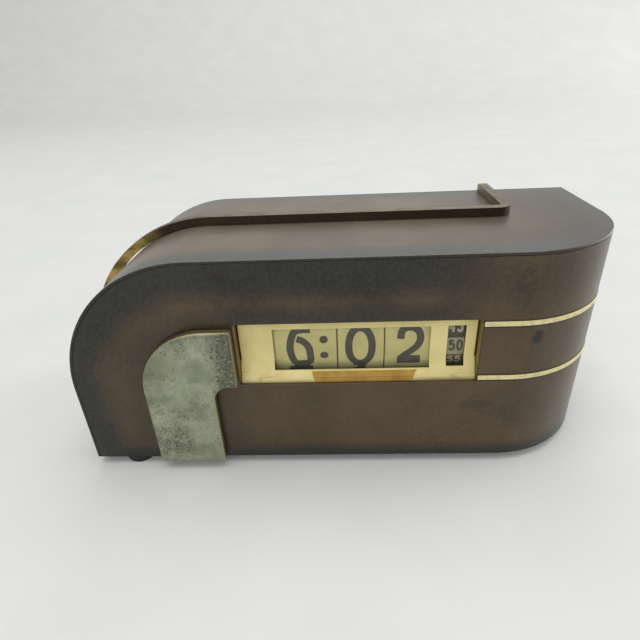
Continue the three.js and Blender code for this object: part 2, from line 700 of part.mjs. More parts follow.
function secondsShaft() {
  const toIdler = angleFrom(SECONDS_AXIS, IDLER_AXIS);
  const transfer = gearOutline({
    ...SECONDS_AXIS,
    teeth: GEARING.secondsTeeth,
    module: TRANSFER.module,
    phase: toIdler + Math.PI / 4,
    kept: (tooth) => tooth < 2,
    tip: GEARING.toothTip,
    root: GEARING.bossRadius,
  });
  const rod = cylinderX(GEARING.from - 0.1, MOTOR.to + 1.2, SECONDS.y, SECONDS.z, SHAFT.seconds);
  return piece('seconds_shaft', 'steel', rod.add(alongX(transfer, GEARING.from, GEARING.to)));
}

function secondsDrum() {
  const { radius, left, right, rim, y, z } = SECONDS;
  const bore = SHAFT.seconds + SHAFT.fit;
  const profile = [[bore, left], [radius, left], [radius, right], [radius - rim, right],
    [radius - rim, left + 1.2], [4, left + 1.2], [4, right], [bore, right], [bore, left]];
  return piece('seconds_drum', 'drum_black', turnedAlongX(profile, y, z, 32));
}

function bush(name, [left, right], { y, z }, radius) {
  const bore = radius + SHAFT.fit;
  const profile = [[bore, left - 0.5], [radius + 1.6, left - 0.5], [radius + 1.6, right + 0.1],
    [radius + 2.6, right + 0.1], [radius + 2.6, right + 0.8], [bore, right + 0.8],
    [bore, left - 0.5]];
  return piece(name, 'brass', turnedAlongX(profile, y, z, 20));
}

function secondsGear() {
  const phase = angleFrom(SECONDS_AXIS, MOTOR);
  const outline = gearOutline({ ...SECONDS_AXIS, teeth: MOTOR.gearTeeth, module: MOTOR.module, phase });
  outline.holes.push(disc(SECONDS.y, SECONDS.z, SHAFT.seconds + SHAFT.fit));
  return piece('seconds_gear', 'brass', alongX(outline, MOTOR.from, MOTOR.to));
}

// ---------------------------------------------------------------- setting train

const SETTING_AXIS = { y: SETTING.y, z: SETTING.z };
const SETTING_WHEEL = { left: 135.2, right: 139.2 };
const SETTING_RADIUS = pitchRadius(SETTING.gearTeeth, TRANSFER.module);
const SETTING_IDLER_RADIUS = pitchRadius(SETTING.idlerTeeth, TRANSFER.module);
const SETTING_IDLER_AXIS = apart(DRUM_AXIS, UNITS_RADIUS + SETTING_IDLER_RADIUS + MESH_SLACK,
  SETTING_AXIS, SETTING_RADIUS + SETTING_IDLER_RADIUS + MESH_SLACK, 1);
const TO_SETTING_IDLER = angleFrom(DRUM_AXIS, SETTING_IDLER_AXIS);
const SETTING_IDLER_PHASE = meshingPhase(TO_SETTING_IDLER, UNITS_PHASE, GEARING.unitsTeeth,
  SETTING.idlerTeeth);

function settingIdler() {
  const outline = gearOutline({ ...SETTING_IDLER_AXIS, teeth: SETTING.idlerTeeth,
    module: TRANSFER.module, phase: SETTING_IDLER_PHASE });
  outline.holes.push(disc(SETTING_IDLER_AXIS.y, SETTING_IDLER_AXIS.z, 1.5 + SHAFT.fit));
  return piece('setting_idler', 'brass', alongX(outline, GEARING.from, GEARING.to));
}

function settingWheel() {
  const { y, z } = SETTING_AXIS;
  const toWheel = angleFrom(SETTING_IDLER_AXIS, SETTING_AXIS);
  const phase = meshingPhase(toWheel, SETTING_IDLER_PHASE, SETTING.idlerTeeth, SETTING.gearTeeth);
  const gear = gearOutline({ y, z, teeth: SETTING.gearTeeth, module: TRANSFER.module, phase });
  const knurl = new THREE.Shape();
  for (let flute = 0; flute < SETTING.flutes * 2; flute += 1) {
    const angle = flute * Math.PI / SETTING.flutes;
    const r = SETTING.wheelRadius - (flute % 2 ? 0.6 : 0);
    knurl[flute ? 'lineTo' : 'moveTo'](y + r * Math.cos(angle), z + r * Math.sin(angle));
  }
  knurl.closePath();
  const wheel = alongX(knurl, SETTING_WHEEL.left, SETTING_WHEEL.right)
    .add(alongX(gear, GEARING.from, GEARING.to))
    .add(cylinderX(GEARING.from, PLATES.frame_plate_right[1] + 0.8, y, z, SHAFT.setting));
  return piece('setting_wheel', 'brass', wheel);
}

// ---------------------------------------------------------------- movement frame

const FLANGE_SCREWS = Object.values(PLATES).slice(0, 2).map(([, right]) => [right + 4.5, 39]);

function framePlate(name) {
  const [left, right] = PLATES[name];
  const { front, rear, bottom, top, corner, flange } = FRAME;
  let plate = alongX(roundedRectangle(front, rear, bottom, top, corner), left, right, CORNER_STEPS);
  const cut = (y, z, radius, steps = ARC_STEPS) => {
    plate = plate.subtract(cylinderX(left - 1, right + 1, y, z, radius, steps));
  };
  if (name !== 'frame_plate_right') {
    plate = plate.add(block(right - 0.5, right + flange, 32, 46, bottom, bottom + 1.2));
    plate = plate.subtract(upright(disc(right + 4.5, 39, 1.35), bottom - 1, bottom + 2, SMALL_STEPS));
    cut(DRUM.y, DRUM.z, SHAFT.drum + 0.05);
    POST.points.forEach(([y, z]) => cut(y, z, 1.4, SMALL_STEPS));
  }
  if (name === 'frame_plate_left') {
    plate = plate.subtract(alongX(roundedRectangle(18, 60, 8, 34, 6), left - 1, right + 1, CORNER_STEPS));
    const collar = cylinderX(right - 0.2, DRUM_SPANS.hours[0] - 0.2, DRUM.y, DRUM.z, 5);
    plate = plate.add(collar.subtract(cylinderX(left, right + 9, DRUM.y, DRUM.z, SHAFT.drum + 0.05)));
  }
  if (name !== 'frame_plate_left') {
    cut(SECONDS.y, SECONDS.z, SHAFT.seconds + 1.65);
    cut(SETTING.y, SETTING.z, SHAFT.setting + SHAFT.fit);
  }
  if (name === 'frame_plate_middle') {
    const studEnd = GEARING.from - 0.2;
    plate = plate.add(cylinderX(studEnd, right, IDLER_AXIS.y, IDLER_AXIS.z, 1.2));
    plate = plate.add(cylinderX(studEnd, right, SETTING_IDLER_AXIS.y, SETTING_IDLER_AXIS.z, 1.5));
    for (const [y, z] of LINK_POSTS) {
      plate = plate.add(cylinderX(left + 0.5, PLATES.frame_plate_right[0] - 0.05, y, z, 2, SMALL_STEPS));
    }
  }
  if (name === 'frame_plate_right') {
    MOTOR_POSTS.forEach(([y, z]) => cut(y, z, 1.2, SMALL_STEPS));
  }
  return piece(name, 'steel', plate);
}

const LINK_POSTS = [[40, 70], [40, 12]]; // riveted posts that carry the right plate

function framePost(number, [y, z]) {
  const [left, right] = [PLATES.frame_plate_left[1] + 0.05, PLATES.frame_plate_middle[0] - 0.05];
  const post = cylinderX(left, right, y, z, POST.radius, SMALL_STEPS)
    .add(cylinderX(left - 1.8, right + 1.6, y, z, 1.2, SMALL_STEPS));
  return piece(`frame_post_${number}`, 'brass', post);
}

function drumShaft() {
  const [left, right] = [PLATES.frame_plate_left[0] - 0.8, PLATES.frame_plate_middle[1] + 0.6];
  return piece('drum_shaft', 'steel', cylinderX(left, right, DRUM.y, DRUM.z, SHAFT.drum));
}

function flangeScrew(number, [x, y]) {
  const seat = FRAME.bottom + 1.25;
  const profile = [[0, seat - 3], [1.2, seat - 3], [1.2, seat], [2.4, seat], [2.4, seat + 1.4],
    [0, seat + 1.8]];
  return piece(`frame_screw_${number}`, 'steel', turnedAlongZ(profile, x, y, 16));
}

// ---------------------------------------------------------------- motor

const MOTOR_CASE = { left: 151.6, right: 159.6, radius: 20 };
const MOTOR_POSTS = [60, -60].map((degrees) => {
  const angle = THREE.MathUtils.degToRad(degrees);
  return [MOTOR.y + 16 * Math.cos(angle), MOTOR.z + 16 * Math.sin(angle)];
});

function motorPinion() {
  const direction = angleFrom(SECONDS_AXIS, MOTOR);
  const phase = meshingPhase(direction, direction, MOTOR.gearTeeth, MOTOR.teeth);
  const outline = gearOutline({ y: MOTOR.y, z: MOTOR.z, teeth: MOTOR.teeth, module: MOTOR.module, phase });
  const pinion = alongX(outline, MOTOR.from, MOTOR.to)
    .add(cylinderX(MOTOR.from - 0.3, MOTOR_CASE.left + 3, MOTOR.y, MOTOR.z, SHAFT.seconds));
  return piece('motor_pinion', 'brass', pinion);
}

function motorGearCase() {
  const { left, right, radius } = MOTOR_CASE;
  const bore = SHAFT.seconds + SHAFT.fit;
  const profile = [[0, right], [radius, right], [radius, left + 1], [radius - 1, left],
    [bore, left], [bore, left + 4], [0, left + 4]];
  let can = turnedAlongX(profile, MOTOR.y, MOTOR.z, 36);
  for (const [y, z] of MOTOR_POSTS) {
    can = can.subtract(cylinderX(left - 1, left + 2.5, y, z, 1.2, SMALL_STEPS));
  }
  return piece('motor_gear_case', 'copper', can);
}

function rotorCan() {
  const left = MOTOR_CASE.right + 0.1;
  const profile = [[0, left], [12.8, left], [12.8, left + 10], [11, left + 12], [0, left + 12]];
  return piece('motor_rotor_can', 'copper', turnedAlongX(profile, MOTOR.y, MOTOR.z, 32));
}

function fieldStack() {
  const [left, right] = [MOTOR_CASE.right + 1, MOTOR_CASE.right + 9];
  const outline = rectangle(20.5, 64.5, 10, 66);
  outline.holes.push(disc(MOTOR.y, MOTOR.z, 13.2));
  outline.holes.push(rectangle(29, 59, 16.5, 27));
  return piece('motor_field_stack', 'dark_steel', alongX(outline, left, right));
}

function motorCoil() {
  const [left, right] = [MOTOR_CASE.right + 1, MOTOR_CASE.right + 9];
  const outside = alongX(roundedRectangle(31, 57, 4, 22, 2), left - 6, right + 6, CORNER_STEPS);
  const window = block(left - 0.3, right + 0.3, 20, 70, 9.7, 16.8);
  return piece('motor_coil', 'fibre', outside.subtract(window));
}

function motorPost(number, [y, z]) {
  const left = PLATES.frame_plate_right[1] + 0.05;
  const right = MOTOR_CASE.left - 0.05;
  const post = cylinderX(left, right, y, z, 1.8, SMALL_STEPS)
    .add(cylinderX(left - 1.5, right + 2.2, y, z, 1, SMALL_STEPS));
  return piece(`motor_post_${number}`, 'brass', post);
}

// ---------------------------------------------------------------- assembly

const inside = (x) => x - CASE.sheet - PLATE_GAP;
const pieces = [
  frontPanel(),
  topPanel(),
  basePlate(),
  backCover(),
  coverBracket('cover_bracket_left', 1, CASE.sheet + PLATE_GAP, 31),
  coverBracket('cover_bracket_right', -1, inside(CASE.length), 78),
  ...COVER_SCREWS.map((at, i) => coverScrew(i + 1, at)),
  cordGrommet(),
  ...FOOT.points.map((at, i) => foot(i + 1, at)),
  fender(),
  fenderNut(FENDER_STUDS[1]),
  handleBar(),
  handleSpacer(),
  ...BAR_SCREWS.map((x, i) => handleScrew(i + 1, x)),
  handleSideScrew(),
  ...Object.entries(TRIM_LINES).map(([name, at]) => trimLine(name, at)),
  displaySleeve(),
  lens(),
  dialMask(),
  amberStrip(),
  ...Object.keys(PLATES).map(framePlate),
  ...POST.points.map((at, i) => framePost(i + 1, at)),
  ...FLANGE_SCREWS.map((at, i) => flangeScrew(i + 1, at)),
  drumShaft(),
  hourDrum(),
  tensDrum(),
  minuteDrum(),
  transferArm('hours_transfer_arm', HOURS_JOINT),
  transferArm('tens_transfer_arm', TENS_JOINT),
  transferPinion('hours_transfer_pinion', HOURS_JOINT),
  transferPinion('tens_transfer_pinion', TENS_JOINT),
  secondsIdler(),
  secondsShaft(),
  secondsDrum(),
  bush('seconds_bush_middle', PLATES.frame_plate_middle, SECONDS_AXIS, SHAFT.seconds),
  bush('seconds_bush_right', PLATES.frame_plate_right, SECONDS_AXIS, SHAFT.seconds),
  secondsGear(),
  settingIdler(),
  settingWheel(),
  motorPinion(),
  motorGearCase(),
  rotorCan(),
  fieldStack(),
  motorCoil(),
  ...MOTOR_POSTS.map((at, i) => motorPost(i + 1, at)),
];

// The footprint's middle: the handle bar reaches furthest left, the trim lines furthest
// right, the fender plate furthest forward and the setting wheel furthest back.
const reachLeft = BAR_ARC.x - (CASE.height + BAR.lift + BAR.height - BAR_ARC.z);
const reachRight = CASE.length + TRIM.gap + TRIM.thickness;
const reachFront = -FENDER_SHAPE.proud;
const reachRear = SETTING.y + SETTING.wheelRadius;

const clock = new THREE.Group();
clock.position.set(-(reachLeft + reachRight) / 2, -(reachFront + reachRear) / 2, FOOT.drop);
clock.add(...pieces);

export default clock;
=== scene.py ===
"""Electric number-drum clock: the looks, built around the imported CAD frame.

Metres and the CAD frame throughout: +Z up, +X to the right, front toward -Y. The case's own
layout is in millimetres from the case's lower left front corner, and at() turns such a
point into the frame.
"""

import json
import math
import random

import bmesh
import bpy
from mathutils import Matrix, Vector


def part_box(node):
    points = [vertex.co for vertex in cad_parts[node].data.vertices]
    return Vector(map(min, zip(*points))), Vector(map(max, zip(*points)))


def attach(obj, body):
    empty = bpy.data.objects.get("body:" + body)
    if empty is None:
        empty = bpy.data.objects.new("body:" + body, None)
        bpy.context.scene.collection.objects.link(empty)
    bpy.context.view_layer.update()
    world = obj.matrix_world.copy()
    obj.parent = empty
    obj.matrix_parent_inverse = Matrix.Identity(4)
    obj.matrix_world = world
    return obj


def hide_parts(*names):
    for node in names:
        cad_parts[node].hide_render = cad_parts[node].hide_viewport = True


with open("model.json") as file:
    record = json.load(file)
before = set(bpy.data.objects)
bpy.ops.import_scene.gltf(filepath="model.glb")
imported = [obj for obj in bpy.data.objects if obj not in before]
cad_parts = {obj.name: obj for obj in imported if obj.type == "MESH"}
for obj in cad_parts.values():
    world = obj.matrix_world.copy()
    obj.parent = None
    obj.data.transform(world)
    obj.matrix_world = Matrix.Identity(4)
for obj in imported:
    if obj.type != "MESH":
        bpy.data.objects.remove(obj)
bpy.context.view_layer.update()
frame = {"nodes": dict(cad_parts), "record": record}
MM = 0.001

# ---------------- places, from the CAD frame


def box_mm(node):
    """Lowest and highest corner of a CAD node, in millimetres in the frame."""
    low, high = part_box(node)
    return low / MM, high / MM


# The top panel spans the whole case, so its lowest corner is the origin of case millimetres.
ORIGIN, CASE_FAR = box_mm("top_panel")
CASE_LENGTH, CASE_DEPTH, CASE_HEIGHT = CASE_FAR - ORIGIN


def at(x, y, z):
    """A point in case millimetres as a point of the frame in metres."""
    return (Vector((x, y, z)) + ORIGIN) * MM


def case_box(node):
    """Lowest and highest corner of a CAD node in case millimetres."""
    low, high = box_mm(node)
    return low - ORIGIN, high - ORIGIN


def axis_of(node):
    """Centre of a drum in case millimetres, as (y, z)."""
    low, high = case_box(node)
    return ((low.y + high.y) / 2, (low.z + high.z) / 2)


def radius_of(node):
    """Radius of a drum in millimetres."""
    low, high = case_box(node)
    return (high.z - low.z) / 2


# The case: sheet thickness, radius of the upper left shoulder and of the right front corner.
SHEET = 1.2
SHOULDER = 49.0
NOSE = 40.0
MASK_LOW, MASK_HIGH = case_box("dial_mask")
# The window opening in the front: left, right, bottom and top.
OPENING = (MASK_LOW.x - 0.1, MASK_HIGH.x + 0.1, MASK_LOW.z + 1.2, MASK_HIGH.z + 0.15)
TRIMS = ("trim_line_upper", "trim_line_lower")
TRIM_START = case_box(TRIMS[0])[0].x

# The fender plate: shoulder radius, right side of its leg, underside of its arm, notch radius.
FENDER_LOW, FENDER_HIGH = case_box("fender_plate")
FENDER_SHOULDER = 24.2
FENDER_LEG = 52.4
FENDER_ARM = 35.2
FENDER_NOTCH = 5.6
FENDER_STUDS = ((39, 12), (44, 46))

# The handle bar: thickness, width, outer corner radius, rear tip radius, centre of the bend.
BAR_RISE = 3.3
BAR_WIDTH = 3.5
BAR_CORNER = 5.4
BAR_TIP = 1.7
BAR_BEND = (49.4, 30)

DRUM_AXIS = axis_of("hour_drum")
DRUM_RADIUS = radius_of("hour_drum")
# Axis of the idler gear that turns the minutes drum.
IDLER_AXIS = (26.864, 37.257)
SECONDS_AXIS = axis_of("seconds_drum")
SECONDS_RADIUS = radius_of("seconds_drum")
SECONDS_COUNT = 12
# The seconds numerals' width and height, stroke and distance side by side.
SECONDS_DIGIT = (2.4, 4.4)
SECONDS_STROKE = 0.86
SECONDS_PITCH = 2.75
DRUM_WEB = 1.2
# Outline of one gear tooth: share of the tooth's pitch, height over the pitch radius.
TOOTH = ((-0.34, -1.15), (-0.1, 0.8), (0.1, 0.8), (0.34, -1.15))
# The numbers' print: how far it stands out, and how much more each next stroke does.
PRINT = 0.04
PRINT_STEP = 0.006
LINE_STEPS = 16
DIGIT_HEIGHT = 16.5
DIGIT_STROKE = 2.6
DIGIT_GAP = 1.2
COLON_X = 91.92
COLON_RISES = (3.1, -3.4)
COLON_RADIUS = 1.5

# Straight pieces in a quarter circle, how far a cutter runs past what it cuts, and the
# smallest radius of a turned profile, where its ends close on the axis.
ARC = 72
PAST = 1.0
AXIS = 0.001

# ---------------- node materials


def srgb(red, green, blue):
    """A colour given as 0 to 255, as a linear colour."""
    def linear(value):
        value /= 255
        return value / 12.92 if value <= 0.04045 else ((value + 0.055) / 1.055) ** 2.4
    return (linear(red), linear(green), linear(blue))


class Nodes:
    """A material's node tree, with one short call for each kind of node.

    A value is a number or another node's socket; a colour may be a tuple of 0 to 255.
    """

    def __init__(self, name):
        self.material = bpy.data.materials.new(name)
        self.material.use_nodes = True
        self.tree = self.material.node_tree
        self.tree.nodes.clear()
        self.shader = self.tree.nodes.new("ShaderNodeBsdfPrincipled")
        self.output = self.tree.nodes.new("ShaderNodeOutputMaterial")
        self.tree.links.new(self.shader.outputs[0], self.output.inputs[0])

    def link(self, value, socket):
        if isinstance(value, bpy.types.NodeSocket):
            self.tree.links.new(value, socket)
        elif isinstance(value, tuple):
            socket.default_value = (*srgb(*value), 1)
        else:
            socket.default_value = value

    def math(self, operation, a, b=0.0, c=0.0):
        node = self.tree.nodes.new("ShaderNodeMath")
        node.operation = operation
        for value, socket in zip((a, b, c), node.inputs):
            self.link(value, socket)
        return node.outputs[0]

    def plus(self, a, b):
        return self.math("ADD", a, b)

    def minus(self, a, b):
        return self.math("SUBTRACT", a, b)

    def times(self, a, b):
        return self.math("MULTIPLY", a, b)

    def scaled(self, value, factor, offset):
        return self.math("MULTIPLY_ADD", value, factor, offset)

    def most(self, a, b):
        return self.math("MAXIMUM", a, b)

    def least(self, a, b):
        return self.math("MINIMUM", a, b)

    def off(self, a, b):
        """How far apart two values are."""
        return self.math("ABSOLUTE", self.minus(a, b))

    def length(self, a, b):
        """Length of the vector with these two parts."""
        return self.math("SQRT", self.plus(self.math("POWER", a, 2.0), self.math("POWER", b, 2.0)))

    def place(self):
        return self.tree.nodes.new("ShaderNodeTexCoord").outputs["Object"]

    def split(self, vector):
        node = self.tree.nodes.new("ShaderNodeSeparateXYZ")
        self.link(vector, node.inputs[0])
        return node.outputs

    def normal(self):
        return self.tree.nodes.new("ShaderNodeNewGeometry").outputs["Normal"]

    def noise(self, size_mm, detail=4.0, roughness=0.55, stretch=(1, 1, 1), shift=0.0):
        """Noise between 0 and 1 with blobs of about that size."""
        mapping = self.tree.nodes.new("ShaderNodeMapping")
        self.link(self.place(), mapping.inputs["Vector"])
        scale = 1 / (size_mm * MM)
        mapping.inputs["Scale"].default_value = [scale * s for s in stretch]
        mapping.inputs["Location"].default_value = (shift, shift * 1.7, shift * 2.3)
        node = self.tree.nodes.new("ShaderNodeTexNoise")
        node.inputs["Scale"].default_value = 1
        node.inputs["Detail"].default_value = detail
        node.inputs["Roughness"].default_value = roughness
        self.link(mapping.outputs[0], node.inputs["Vector"])
        return node.outputs["Fac"]

    def cells(self, size_mm, shift=0.0):
        """Distance to the nearest of many scattered points, in cell sizes."""
        mapping = self.tree.nodes.new("ShaderNodeMapping")
        self.link(self.place(), mapping.inputs["Vector"])
        mapping.inputs["Scale"].default_value = [1 / (size_mm * MM)] * 3
        mapping.inputs["Location"].default_value = (shift, -shift, shift * 0.6)
        node = self.tree.nodes.new("ShaderNodeTexVoronoi")
        node.inputs["Scale"].default_value = 1
        self.link(mapping.outputs[0], node.inputs["Vector"])
        return node.outputs["Distance"]

    def step(self, value, low, high):
        """0 below low, 1 above high, smooth between; low above high turns it round."""
        node = self.tree.nodes.new("ShaderNodeMapRange")
        node.interpolation_type = "SMOOTHSTEP"
        self.link(value, node.inputs["Value"])
        if low <= high:
            ends = (low, high, 0.0, 1.0)
        else:
            ends = (high, low, 1.0, 0.0)
        for number, socket in zip(ends, ("From Min", "From Max", "To Min", "To Max")):
            node.inputs[socket].default_value = number
        return node.outputs[0]

    def mix(self, factor, a, b):
        node = self.tree.nodes.new("ShaderNodeMix")
        node.data_type = "RGBA"
        self.link(factor, node.inputs["Factor"])
        self.link(a, node.inputs[6])
        self.link(b, node.inputs[7])
        return node.outputs[2]

    def ramp(self, value, low, high, a, b):
        """Colour a where the value is below low, b where it is above high."""
        return self.mix(self.step(value, low, high), a, b)

    def tint(self, color, other, amount, strength):
        """The colour moved toward another by amount times strength."""
        return self.mix(self.times(amount, strength), color, other)

    def bump(self, height, strength, distance_mm):
        node = self.tree.nodes.new("ShaderNodeBump")
        node.inputs["Strength"].default_value = strength
        node.inputs["Distance"].default_value = distance_mm * MM
        self.link(height, node.inputs["Height"])
        self.link(node.outputs[0], self.shader.inputs["Normal"])

    def finish(self, color, roughness, metallic=0.0, **more):
        self.link(color, self.shader.inputs["Base Color"])
        self.link(roughness, self.shader.inputs["Roughness"])
        self.shader.inputs["Metallic"].default_value = metallic
        for name, value in more.items():
            self.shader.inputs[name.replace("_", " ")].default_value = value
        return self.material


def case_mm(n):
    """Case coordinates in millimetres as three sockets."""
    return [n.scaled(value, 1 / MM, -shift) for value, shift in zip(n.split(n.place()), ORIGIN)]


def shoulder_distance(n, x, z, radius, left, top):
    """How far inside a rounded upper left outline a point of the front lies, in millimetres."""
    beside = n.most(n.minus(left + radius, x), 0.0)
    above = n.most(n.minus(z, top - radius), 0.0)
    return n.minus(radius, n.length(beside, above))


def distance(n, x, z, spot_x, spot_z):
    """How far a point of the front lies from a spot on it, in millimetres."""
    return n.length(n.minus(x, spot_x), n.minus(z, spot_z))


# Places of scratched patches on the case's front: x, z and radius in millimetres, strength.
SCUFFS = [(156, 72.5, 9, 0.42), (157, 65.5, 5, 0.4), (157, 18, 7, 0.35), (147, 24, 7, 0.4),
          (112, 74, 12, 0.35), (62, 74, 16, 0.4), (30, 72, 14, 0.35), (20, 44, 12, 0.15),
          (132, 8, 8, 0.35)]
# Dark stains on it: x, z, radius, how much wider than high, and strength.
STAINS = [(164, 52.2, 1.9, 0.9, 0.8), (163.7, 50.6, 2.2, 1.0, 0.8), (146, 24, 2.2, 3.2, 0.4),
          (9, 16, 1.6, 1.2, 0.6), (156, 70, 2.2, 1.0, 0.4), (60, 76, 2.4, 2.0, 0.5)]
# The same for the fender plate: scratched patches, a pitted and a darker spot.
PLATE_SCUFFS = [(54, 53, 6), (45, 50, 7)]
PITTED_SPOT = (33, 13)
SHADED_SPOT = (32, 46)
# Height of the amber strip's crease.
AMBER_CREASE = 35.3


def stain(n, x, z, spot_x, spot_z, radius, wide):
    """A dark blotch with a ragged edge."""
    across = n.scaled(n.minus(x, spot_x), 1 / wide, spot_x)
    away = n.math("DIVIDE", distance(n, across, z, spot_x, spot_z), radius)
    ragged = n.scaled(n.noise(1.6, 5, 0.7, shift=spot_x), 1.4, -0.7)
    return n.step(n.plus(away, ragged), 1.05, 0.55)


def scuff(n, x, z, spot_x, spot_z, radius):
    """Thin wandering scratches inside a round patch, fading at its edge."""
    patch = n.step(distance(n, x, z, spot_x, spot_z), radius, radius * 0.4)
    ridge = n.off(n.noise(radius * 0.5, 4, 0.65, shift=spot_x), 0.5)
    return n.times(n.step(ridge, 0.045, 0.012), patch)


def bronze():
    """Patinated bronze sheet: brown, with sprayed dark bands along the outlines and painted shade by the
    fender, trims and window.
    """
    n = Nodes("bronze")
    x, y, z = case_mm(n)
    cloud = n.noise(30, 5, 0.6)
    fine = n.noise(1.4, 6, 0.7)
    wobble = n.scaled(cloud, 9.0, -4.5)
    across, _, up = n.split(n.normal())
    # Only above z 36 to 42, so that the window opening's lower edge doesn't count as top; it keeps the
    # front's darker brown as painted shade.
    is_top = n.times(n.step(up, 0.35, 0.8), n.step(z, 36, 42))
    is_left = n.step(across, -0.35, -0.8)

    # The front: a dark rim, a dark band above the window and one along the foot, and painted shade around
    # the fender plate.
    inside = shoulder_distance(n, x, z, SHOULDER, 0, CASE_HEIGHT)
    sheet_edge = n.step(inside, 1.7, 1.0)
    inside = n.plus(inside, wobble)
    fade = n.scaled(n.step(x, 160, 122), 0.85, 0.15)
    from_rim = n.scaled(n.step(z, 46, 68), -3.5, inside)
    rim = n.times(n.step(from_rim, 16, 5), fade)
    window_band = n.times(n.step(z, 57, 60), n.step(n.plus(z, wobble), 70, 62))
    window_band = n.times(window_band, n.step(x, 150, 128))
    window_band = n.times(window_band, n.step(n.plus(x, wobble), 50, 66))
    foot_band = n.step(n.plus(z, n.times(wobble, 0.3)), 8, 1)
    # Painted shade: darker within about 14 mm outside the fender plate's outline.
    from_fender = shoulder_distance(n, x, z, FENDER_SHOULDER, FENDER_LOW.x, FENDER_HIGH.z)
    fender_painted_shade = n.times(n.step(from_fender, -14, -1), n.step(x, 66, 56))
    dark = n.most(rim, n.times(window_band, 0.85))
    dark = n.most(n.most(dark, foot_band), n.times(fender_painted_shade, 0.35))
    brown = n.ramp(cloud, 0.3, 0.7, (64, 49, 28), (82, 64, 42))
    slate = n.ramp(cloud, 0.35, 0.65, (17, 22, 18), (30, 31, 25))
    front = n.mix(dark, brown, slate)

    # The top: bluish along the front and rear edge, browner to the right.
    past_nose = n.most(n.minus(x, CASE_LENGTH - NOSE), 0.0)
    to_front = n.most(n.minus(NOSE, y), 0.0)
    from_edge = n.minus(NOSE, n.length(past_nose, to_front))
    front_edge = n.step(n.plus(from_edge, n.times(wobble, 0.4)), 13, 3)
    front_edge = n.times(front_edge, n.scaled(n.step(x, 150, 185), -0.5, 1.0))
    back_edge = n.step(n.plus(y, n.times(wobble, 0.4)), 62, 74)
    edges = n.most(front_edge, n.times(back_edge, 0.7))
    tan = n.ramp(cloud, 0.3, 0.7, (102, 91, 77), (122, 109, 95))
    blue = n.ramp(fine, 0.3, 0.7, (74, 80, 82), (88, 93, 94))
    tan = n.tint(tan, (62, 54, 43), n.step(x, 130, 186), 0.8)
    top = n.tint(tan, blue, edges, 0.8)

    front = n.tint(front, (28, 25, 22), sheet_edge, 0.75)
    # Painted shadow: a dark line round each trim line, right of the window.
    past_window = n.step(x, TRIM_START - 0.3, TRIM_START + 0.1)
    for node in TRIMS:
        low, high = case_box(node)
        half = (high.z - low.z) / 2
        beside = n.off(z, low.z + half - 0.1)
        groove_and_trim_shadow = n.times(n.step(beside, half + 0.9, half + 0.4), past_window)
        front = n.tint(front, (26, 20, 14), groove_and_trim_shadow, 0.75)
    left = n.tint(brown, slate, n.most(edges, foot_band), 0.9)
    color = n.mix(is_left, n.mix(is_top, front, top), left)

    # Wear over all of it.
    grain = n.step(fine, 0.25, 0.75)
    color = n.tint(color, (140, 128, 112), grain, 0.1)
    streaks = n.noise(5, 5, 0.7, (0.16, 1, 1), 3.1)
    color = n.tint(color, (52, 44, 40), n.step(streaks, 0.62, 0.78), 0.25)
    specks = n.step(n.cells(5, 2.3), 0.11, 0.04)
    color = n.tint(color, (40, 35, 31), specks, 0.5)
    pits = n.step(n.noise(0.8, 4, 0.7, shift=6.0), 0.56, 0.68)
    worn = n.step(n.noise(24, 4, 0.6, shift=7.0), 0.4, 0.62)
    color = n.tint(color, (46, 40, 36), n.times(pits, worn), 0.38)
    is_front = n.step(up, 0.8, 0.35)
    marks = 0.0
    for *spot, strength in SCUFFS:
        marks = n.most(marks, n.times(scuff(n, x, z, *spot), strength))
    for *spot, strength in STAINS:
        marks = n.most(marks, n.times(stain(n, x, z, *spot), strength))
    color = n.tint(color, (26, 20, 15), marks, is_front)
    rough = n.scaled(fine, 0.16, 0.4)
    n.bump(n.plus(n.times(fine, 0.6), n.noise(0.5, 3, 0.6)), 0.12, 0.05)
    return n.finish(color, rough, 0.45, Coat_Weight=0.5, Coat_Roughness=0.25, Specular_IOR_Level=0.2)


